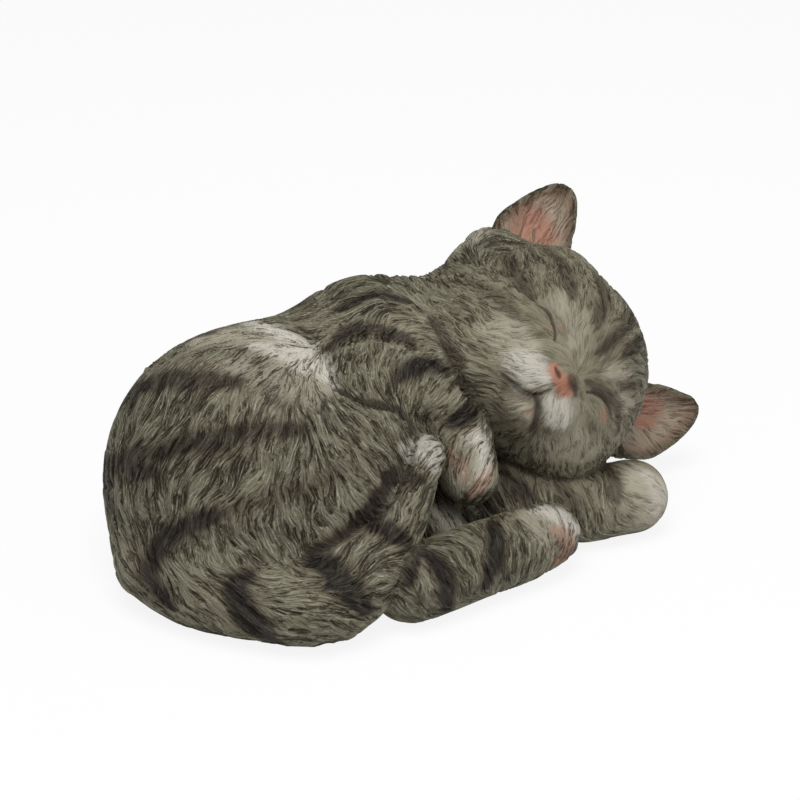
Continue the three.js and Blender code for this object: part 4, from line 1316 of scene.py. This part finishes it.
def fur_paint(name, paints, sizes, roughness, fineness=1):
    """Airbrushed and dry brushed resin: base coat, paints by coverage, pale strand tops and a dark wash.

    The height is that of the carving about its mean. What lies above it is the top, which is brushed, and
    what lies below it is deep, which keeps the wash.
    """
    sheet = Sheet(name)
    raw, cut = fine_strands(sheet, sizes, fineness), sheet.mask("cut")
    fine = raw.clamped()
    ridge = ((raw - RIDGE_FROM) * RIDGE_GAIN).clamped() * (cut * (1 - BARE_RIDGE) + BARE_RIDGE)
    patch, fleck = sheet.grain(*OLIVE_PATCHES), sheet.grain(*FLECKS)
    carving = fine * STRAND_SHARE + sheet.mask("hair") * LOCK_SHARE - 0.5
    height = carving * (BARE_HEIGHT + cut * (1 - BARE_HEIGHT))
    coat = sheet.mix(sheet.mask("tone").clamped(), paints.khaki, paints.pale)
    coat = sheet.mix((patch * 2.2 - 0.6).clamped() * OLIVE_COVER, coat, paints.olive)
    coat = sheet.mix(sheet.mask("cream"), coat, paints.cream)
    top, deep = (height * TOP_GAIN).clamped(), (height * DEEP_GAIN).clamped()
    tipped = sheet.mix(top * TOP_COVER + ridge * RIDGE_COVER, coat, paints.strand)
    band = sheet.mask("band")
    banded = sheet.mix(band * (1 - top * 0.14), tipped, sheet.mix(band, paints.fringe, paints.band))
    whitened = sheet.mix(sheet.mask("white") * (0.8 + top * 0.2 - deep * 0.35), banded, paints.white)
    rosy = sheet.mix(sheet.mask("pink"), whitened, paints.pink)
    carved = sheet.mix(deep * WASH_COVER, rosy, sheet.mix(1.0, rosy, paints.groove, "MULTIPLY"))
    # Dark paint of eyes, mouth and nostrils, and painted shade in the creases and beside the folds
    darkened = sheet.mix(sheet.mask("dark_paint_and_shade") * DARK_AND_SHADE_COVER, carved, paints.dark_paint_and_shade)
    edged = sheet.mix(sheet.mask("rim") * EDGE_COVER, darkened, paints.edge)
    sheet.set(Base_Color=edged, Roughness=roughness - height * 0.14 + (fleck - 0.5) * 0.08,
              Normal=sheet.bump(1.0, sizes.strand_relief, fine * cut + fleck * 0.12), Specular_IOR_Level=0.2)
    return sheet.material


def colour(name, words, value):
    """A paint colour that a user can change."""
    return FloatVectorProperty(name=name, description=words, default=value, subtype="COLOR", min=0, max=1)


def length(name, words, value):
    """A size in millimetres, kept in metres, that a user can change."""
    return FloatProperty(name=name, description=words, default=value * MM, min=0, precision=5, unit="LENGTH")


def power(name, words, value):
    """A lamp's power in watts that a user can change."""
    return FloatProperty(name=name, description=words, default=value, min=0, unit="POWER")


class KITTEN_PG_carving(bpy.types.PropertyGroup):
    """How the fur is cut into the casting."""
    lock_depth: length("Lock depth", "How deep the grooves between the locks are on the back", 0.85)
    lock_width: length("Lock width", "Width of the carved locks", 0.9)
    lock_length: length("Lock length", "Length of one carved lock", 6)
    strand_width: length("Strand width", "Width of the fine strands on the locks", 0.5)
    strand_length: length("Strand length", "Length of one fine strand", 3.6)
    strand_relief: length("Strand relief", "Height of the fine strands", 0.36)
    crease_width: length("Crease width", "How widely two limbs melt together where they meet", 1.6)


class KITTEN_PG_paints(bpy.types.PropertyGroup):
    """The paints of the figure."""
    khaki: colour("Khaki", "Base coat of the back", srgb(84, 78, 62))
    pale: colour("Pale coat", "Base coat of the lighter parts", srgb(150, 142, 120))
    olive: colour("Olive", "Second base coat, in soft patches", srgb(84, 82, 66))
    cream: colour("Cream", "Airbrushed pale patches", srgb(166, 159, 142))
    white: colour("White", "Brushed white fur", srgb(214, 210, 200))
    pink: colour("Pink", "Nose, pads and the inside of the ears", srgb(168, 112, 92))
    band: colour("Band", "Tabby bands", srgb(35, 29, 24))
    fringe: colour("Band fringe", "Warm brown where a band thins out", srgb(84, 70, 52))
    strand: colour("Strand tops", "Pale dry brushing on the strands", srgb(158, 158, 138))
    groove: colour("Grooves", "What the dark wash leaves of the coat in the grooves", srgb(94, 82, 67))
    # This colour also paints the shade in creases and beside the thigh, tail, ruff and nose
    dark_paint_and_shade: colour("Dark paint and shade", "Dark paint in creases, eyelids and mouth", srgb(44, 36, 28))
    edge: colour("Lower edge", "Red brown paint round the underside", srgb(66, 44, 34))
    base: colour("Base", "Brown wash on the base plate", srgb(92, 76, 62))
    rubber: colour("Rubber", "The vent plug", srgb(34, 33, 32))


class KITTEN_PG_stage(bpy.types.PropertyGroup):
    """The floor, the lamps and the camera's distance."""
    floor: colour("Floor", "Floor and backdrop", (0.9, 0.9, 0.9))
    key: power("Key lamp", "Power of the large lamp above", 8)
    fill: power("Fill lamp", "Power of the lamp at the front right", 1.5)
    sky: FloatProperty(name="Sky", description="Brightness of the surroundings", default=0.27, min=0, max=2)
    distance: FloatProperty(
        name="Camera distance", description="From the camera to the middle of the figure", default=0.9,
        min=0.2, unit="LENGTH")


class Shaping:
    """What the operators that shape skins share."""
    bl_options = {"REGISTER", "UNDO"}

    def paint(self, context, name, roughness, fineness=1):
        """The fur's paint for this operator's skins."""
        scene = context.scene
        return fur_paint(name, scene.kitten_paints, scene.kitten_carving, roughness, fineness)

    def shape(self, context, name, form, node, slot, material, spine):
        """Dresses one piece and puts it in place of its solid."""
        grid, masks = dress(form, spine, *GRIDS[name], context.scene.kitten_carving)
        place(closed_mesh(name, grid, masks), material, node, slot)


class KITTEN_OT_body(Shaping, bpy.types.Operator):
    """Shape and paint the body, in two skins that meet at the waist"""
    bl_idname = "kitten.body"
    bl_label = "Body"

    def execute(self, context):
        fur = self.paint(context, "body fur", FUR_ROUGHNESS)
        self.shape(context, "rump_and_back", "torso_rear", "torso_shell", "fur", fur, REAR_SPINE)
        self.shape(context, "shoulders_and_nape", "torso_front", "torso_shell", "fur", fur, FRONT_SPINE)
        return {"FINISHED"}


class KITTEN_OT_haunch(Shaping, bpy.types.Operator):
    """Shape and paint the right hindquarter"""
    bl_idname = "kitten.haunch"
    bl_label = "Hindquarter"

    def execute(self, context):
        fur = self.paint(context, "haunch fur", FUR_ROUGHNESS)
        self.shape(context, "hindquarter", "haunch", "right_haunch", "fur", fur, HAUNCH_SPINE)
        return {"FINISHED"}


class KITTEN_OT_tail(Shaping, bpy.types.Operator):
    """Shape and paint the ringed tail"""
    bl_idname = "kitten.tail"
    bl_label = "Tail"

    def execute(self, context):
        fur = self.paint(context, "tail fur", FUR_ROUGHNESS)
        self.shape(context, "ringed_tail", "tail", "tail", "tail_fur", fur, TAIL)
        return {"FINISHED"}


class KITTEN_OT_legs(Shaping, bpy.types.Operator):
    """Shape and paint the hind foot and both forelegs"""
    bl_idname = "kitten.legs"
    bl_label = "Legs"

    def execute(self, context):
        fur = self.paint(context, "leg fur", LEG_ROUGHNESS)
        self.shape(context, "hind_foot", "foot", "right_hind_foot", "leg_fur", fur, FOOT_SPINE)
        self.shape(context, "lower_foreleg", "left", "left_foreleg", "leg_fur", fur, LEFT_FORELEG)
        self.shape(context, "upper_foreleg", "right", "right_foreleg", "leg_fur", fur, PAW_SPINE)
        return {"FINISHED"}


class KITTEN_OT_head(Shaping, bpy.types.Operator):
    """Shape and paint the sleeping head"""
    bl_idname = "kitten.head"
    bl_label = "Head"

    def execute(self, context):
        face = self.paint(context, "face paint", FACE_ROUGHNESS, HEAD_FINENESS)
        spine = (from_head(HEAD_SPINE[0]), from_head(HEAD_SPINE[1]))
        self.shape(context, "sleeping_head", "head", "head_shell", "face", face, spine)
        return {"FINISHED"}


def ear_fields(side, from_base, across_up, deep, rim, hair, lie, streak):
    """An ear's paints: brown rim, cream bowl, and in its middle pink flesh between white strands.

    Deep runs from 0 at the rim to 1 at the bowl's bottom, where shade is painted. The flesh is an oval
    across and up the ear. The streaks, from 0 to 1, part it into strands: white where high, painted shade
    where low.
    """
    middle, half = (np.float32(part) for part in EAR_FLESH[side])
    spot = (from_base @ np.stack(across_up).T - middle) / half
    flesh = (deep > 0) * (1 - step(*FLESH_EDGE, np.linalg.norm(spot, axis=1)))
    return {
        "hair": hair, "cut": 0.6 - 0.2 * step(0, 0.4, deep), "lie": lie,
        "pink": (deep > 0) * 0.2 + 0.55 * flesh * step(*PINK_STREAKS, streak),
        "cream": step(0.06, 0.26, deep) * (1 - flesh * 0.4) * 0.9,
        "white": flesh * step(*WHITE_STREAKS, streak) * 0.6,
        "band": rim * 0.36, "rim": np.zeros(len(deep), dtype=np.float32),
        "tone": 0.35 + 0.35 * step(0, 0.15, deep),
        # Painted shade at the bottom of the bowl and between the strands of the flesh
        "dark_paint_and_shade": np.maximum(step(0.88, 1, deep) * 0.25, flesh * (1 - step(*SHADE_STREAKS, streak)) * 0.2),
    }


class KITTEN_OT_ears(Shaping, bpy.types.Operator):
    """Shape and paint both ears"""
    bl_idname = "kitten.ears"
    bl_label = "Ears"

    def execute(self, context):
        sizes, material = context.scene.kitten_carving, self.paint(context, "ear paint", FACE_ROUGHNESS)
        for side, name, node in ((-1, "upper_ear", "right_ear"), (1, "lower_ear", "left_ear")):
            grid, deep, rim, base, axes = ear_grid(side, *EAR_GRID)
            p, from_base = from_head(grid.reshape(-1, 3)), grid.reshape(-1, 3) - base
            normal = grid_normals(p.reshape(grid.shape)).reshape(-1, 3)
            lie = swirled(unit(from_base + axes[1] * 2) @ HEAD_AXES, normal, p)
            hair, streak = locks(p, lie, sizes), combed(p, lie, *EAR_STREAKS, STREAK_SEED)
            fields = ear_fields(side, from_base, axes, deep.ravel(), rim.ravel(), hair, lie, streak)
            carved = p - normal * (sizes.lock_depth / MM * fields["cut"] * (1 - hair))[:, None]
            mesh = closed_mesh(name, carved.reshape(grid.shape), on_grid(fields, grid))
            place(mesh, material, node, "ear")
        return {"FINISHED"}


class KITTEN_OT_base(bpy.types.Operator):
    """Paint the base plate and the vent plug, which keep their solids"""
    bl_idname = "kitten.base"
    bl_label = "Base"
    bl_options = {"REGISTER", "UNDO"}

    def execute(self, context):
        paints = context.scene.kitten_paints
        wash = Sheet("base wash")
        mottle, pit = wash.grain(*BASE_MOTTLE), wash.grain(*BASE_PITS)
        tone = wash.mix(((mottle - 0.35) * 2).clamped(), paints.groove, paints.base)
        wash.set(Base_Color=tone, Roughness=0.62 + mottle * 0.2, Normal=wash.bump(0.4, PIT_DEPTH, pit))
        rubber = Sheet("vent rubber")
        scuff = rubber.grain(*RUBBER_SCUFFS)
        tone = rubber.mix(scuff * 0.5, paints.rubber, paints.dark_paint_and_shade)
        rubber.set(Base_Color=tone, Roughness=0.7 + scuff * 0.2, Normal=rubber.bump(0.2, SCUFF_DEPTH, scuff))
        for node, sheet in (("base_plate", wash), ("vent_plug", rubber)):
            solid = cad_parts[node]
            solid.data.materials.clear()
            solid.data.materials.append(sheet.material)
        return {"FINISHED"}


class KITTEN_OT_stage(bpy.types.Operator):
    """Lay the floor, hang the lamps and set the camera"""
    bl_idname = "kitten.stage"
    bl_label = "Stage"
    bl_options = {"REGISTER", "UNDO"}

    def execute(self, context):
        scene, stage = context.scene, context.scene.kitten_stage
        scene.view_settings.view_transform = "Standard"
        self.floor(stage)
        self.sky(scene, stage)
        self.lamp(scene, "key lamp", *KEY_LAMP, stage.key)
        self.lamp(scene, "fill lamp", *FILL_LAMP, stage.fill)
        self.camera(scene, stage)
        return {"FINISHED"}

    @staticmethod
    def lamp(scene, name, at, size, watts):
        """A square lamp turned towards the middle of the figure."""
        light = bpy.data.lights.new(name, "AREA")
        light.size, light.energy = size, watts
        lamp = bpy.data.objects.new(name, light)
        lamp.location = at
        lamp.rotation_euler = (Vector(CAMERA_AIM) * MM - Vector(at)).to_track_quat("-Z", "Y").to_euler()
        scene.collection.objects.link(lamp)

    @staticmethod
    def floor(stage):
        """A plain sheet, white to the camera where it is lit, that keeps the figure's shadow."""
        corners = np.array([(-1, -1), (1, -1), (1, 1), (-1, 1)]) * FLOOR_REACH
        mesh = bpy.data.meshes.new("floor")
        mesh.from_pydata([(x, y, FLOOR_LEVEL) for x, y in corners], [], [(0, 1, 2, 3)])
        sheet = Sheet("floor white")
        sheet.set(Base_Color=tuple(stage.floor), Roughness=0.9)
        seen = sheet.node("ShaderNodeLightPath", {}, {}, "Is Camera Ray")
        glow = sheet.node("ShaderNodeEmission", {}, {"Color": (1, 1, 1), "Strength": 1.0})
        lit = Value(sheet, sheet.shader.outputs[0])
        both = sheet.node("ShaderNodeMixShader", {}, {0: seen * FLOOR_GLOW, 1: lit, 2: glow})
        sheet.feed(sheet.tree.nodes["Material Output"].inputs["Surface"], both)
        mesh.materials.append(sheet.material)
        floor = bpy.data.objects.new("floor", mesh)
        bpy.context.scene.collection.objects.link(floor)

    @staticmethod
    def sky(scene, stage):
        """Even surroundings that the camera sees as white."""
        world = bpy.data.worlds.new("studio")
        world.use_nodes = True
        scene.world = world
        tree = world.node_tree
        path = tree.nodes.new("ShaderNodeLightPath")
        strength = tree.nodes.new("ShaderNodeMapRange")
        tree.links.new(path.outputs["Is Camera Ray"], strength.inputs["Value"])
        strength.inputs["To Min"].default_value = stage.sky
        strength.inputs["To Max"].default_value = 1
        tree.nodes["Background"].inputs["Color"].default_value = (1, 1, 1, 1)
        tree.links.new(strength.outputs[0], tree.nodes["Background"].inputs["Strength"])

    @staticmethod
    def camera(scene, stage):
        """The camera stands where the picture was taken from, with a long lens."""
        back = Vector(camera_way())
        data = bpy.data.cameras.new("camera")
        data.lens = CAMERA_LENS * stage.distance / (CAMERA_DISTANCE * MM)
        data.clip_start = CLIP_START
        camera = bpy.data.objects.new("camera", data)
        camera.location = Vector(CAMERA_AIM) * MM + back * stage.distance
        camera.rotation_euler = back.to_track_quat("Z", "Y").to_euler()
        scene.collection.objects.link(camera)
        scene.camera = camera


OPERATORS = (
    KITTEN_OT_body, KITTEN_OT_haunch, KITTEN_OT_tail, KITTEN_OT_legs, KITTEN_OT_head, KITTEN_OT_ears,
    KITTEN_OT_base, KITTEN_OT_stage,
)


class KITTEN_PT_panel(bpy.types.Panel):
    """The pieces of the ornament, and their sizes and paints"""
    bl_idname = "KITTEN_PT_panel"
    bl_label = "Sleeping Kitten"
    bl_space_type = "VIEW_3D"
    bl_region_type = "UI"
    bl_category = "Kitten"

    def draw(self, context):
        for group in (context.scene.kitten_carving, context.scene.kitten_paints, context.scene.kitten_stage):
            box = self.layout.box()
            for key in group.bl_rna.properties.keys():
                if key not in ("rna_type", "name"):
                    box.prop(group, key)
        for operator in OPERATORS:
            self.layout.operator(operator.bl_idname)


GROUPS = (
    ("kitten_carving", KITTEN_PG_carving), ("kitten_paints", KITTEN_PG_paints),
    ("kitten_stage", KITTEN_PG_stage),
)


def register():
    for _, group in GROUPS:
        bpy.utils.register_class(group)
    for operator in OPERATORS:
        bpy.utils.register_class(operator)
    bpy.utils.register_class(KITTEN_PT_panel)
    for name, group in GROUPS:
        setattr(bpy.types.Scene, name, PointerProperty(type=group))


def unregister():
    for name, _ in GROUPS:
        delattr(bpy.types.Scene, name)
    bpy.utils.unregister_class(KITTEN_PT_panel)
    for operator in reversed(OPERATORS):
        bpy.utils.unregister_class(operator)
    for _, group in reversed(GROUPS):
        bpy.utils.unregister_class(group)


def main():
    """Registers the add-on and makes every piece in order."""
    register()
    for operator in OPERATORS:
        group, name = operator.bl_idname.split(".")
        getattr(getattr(bpy.ops, group), name)()


if __name__ == "__main__":
    main()
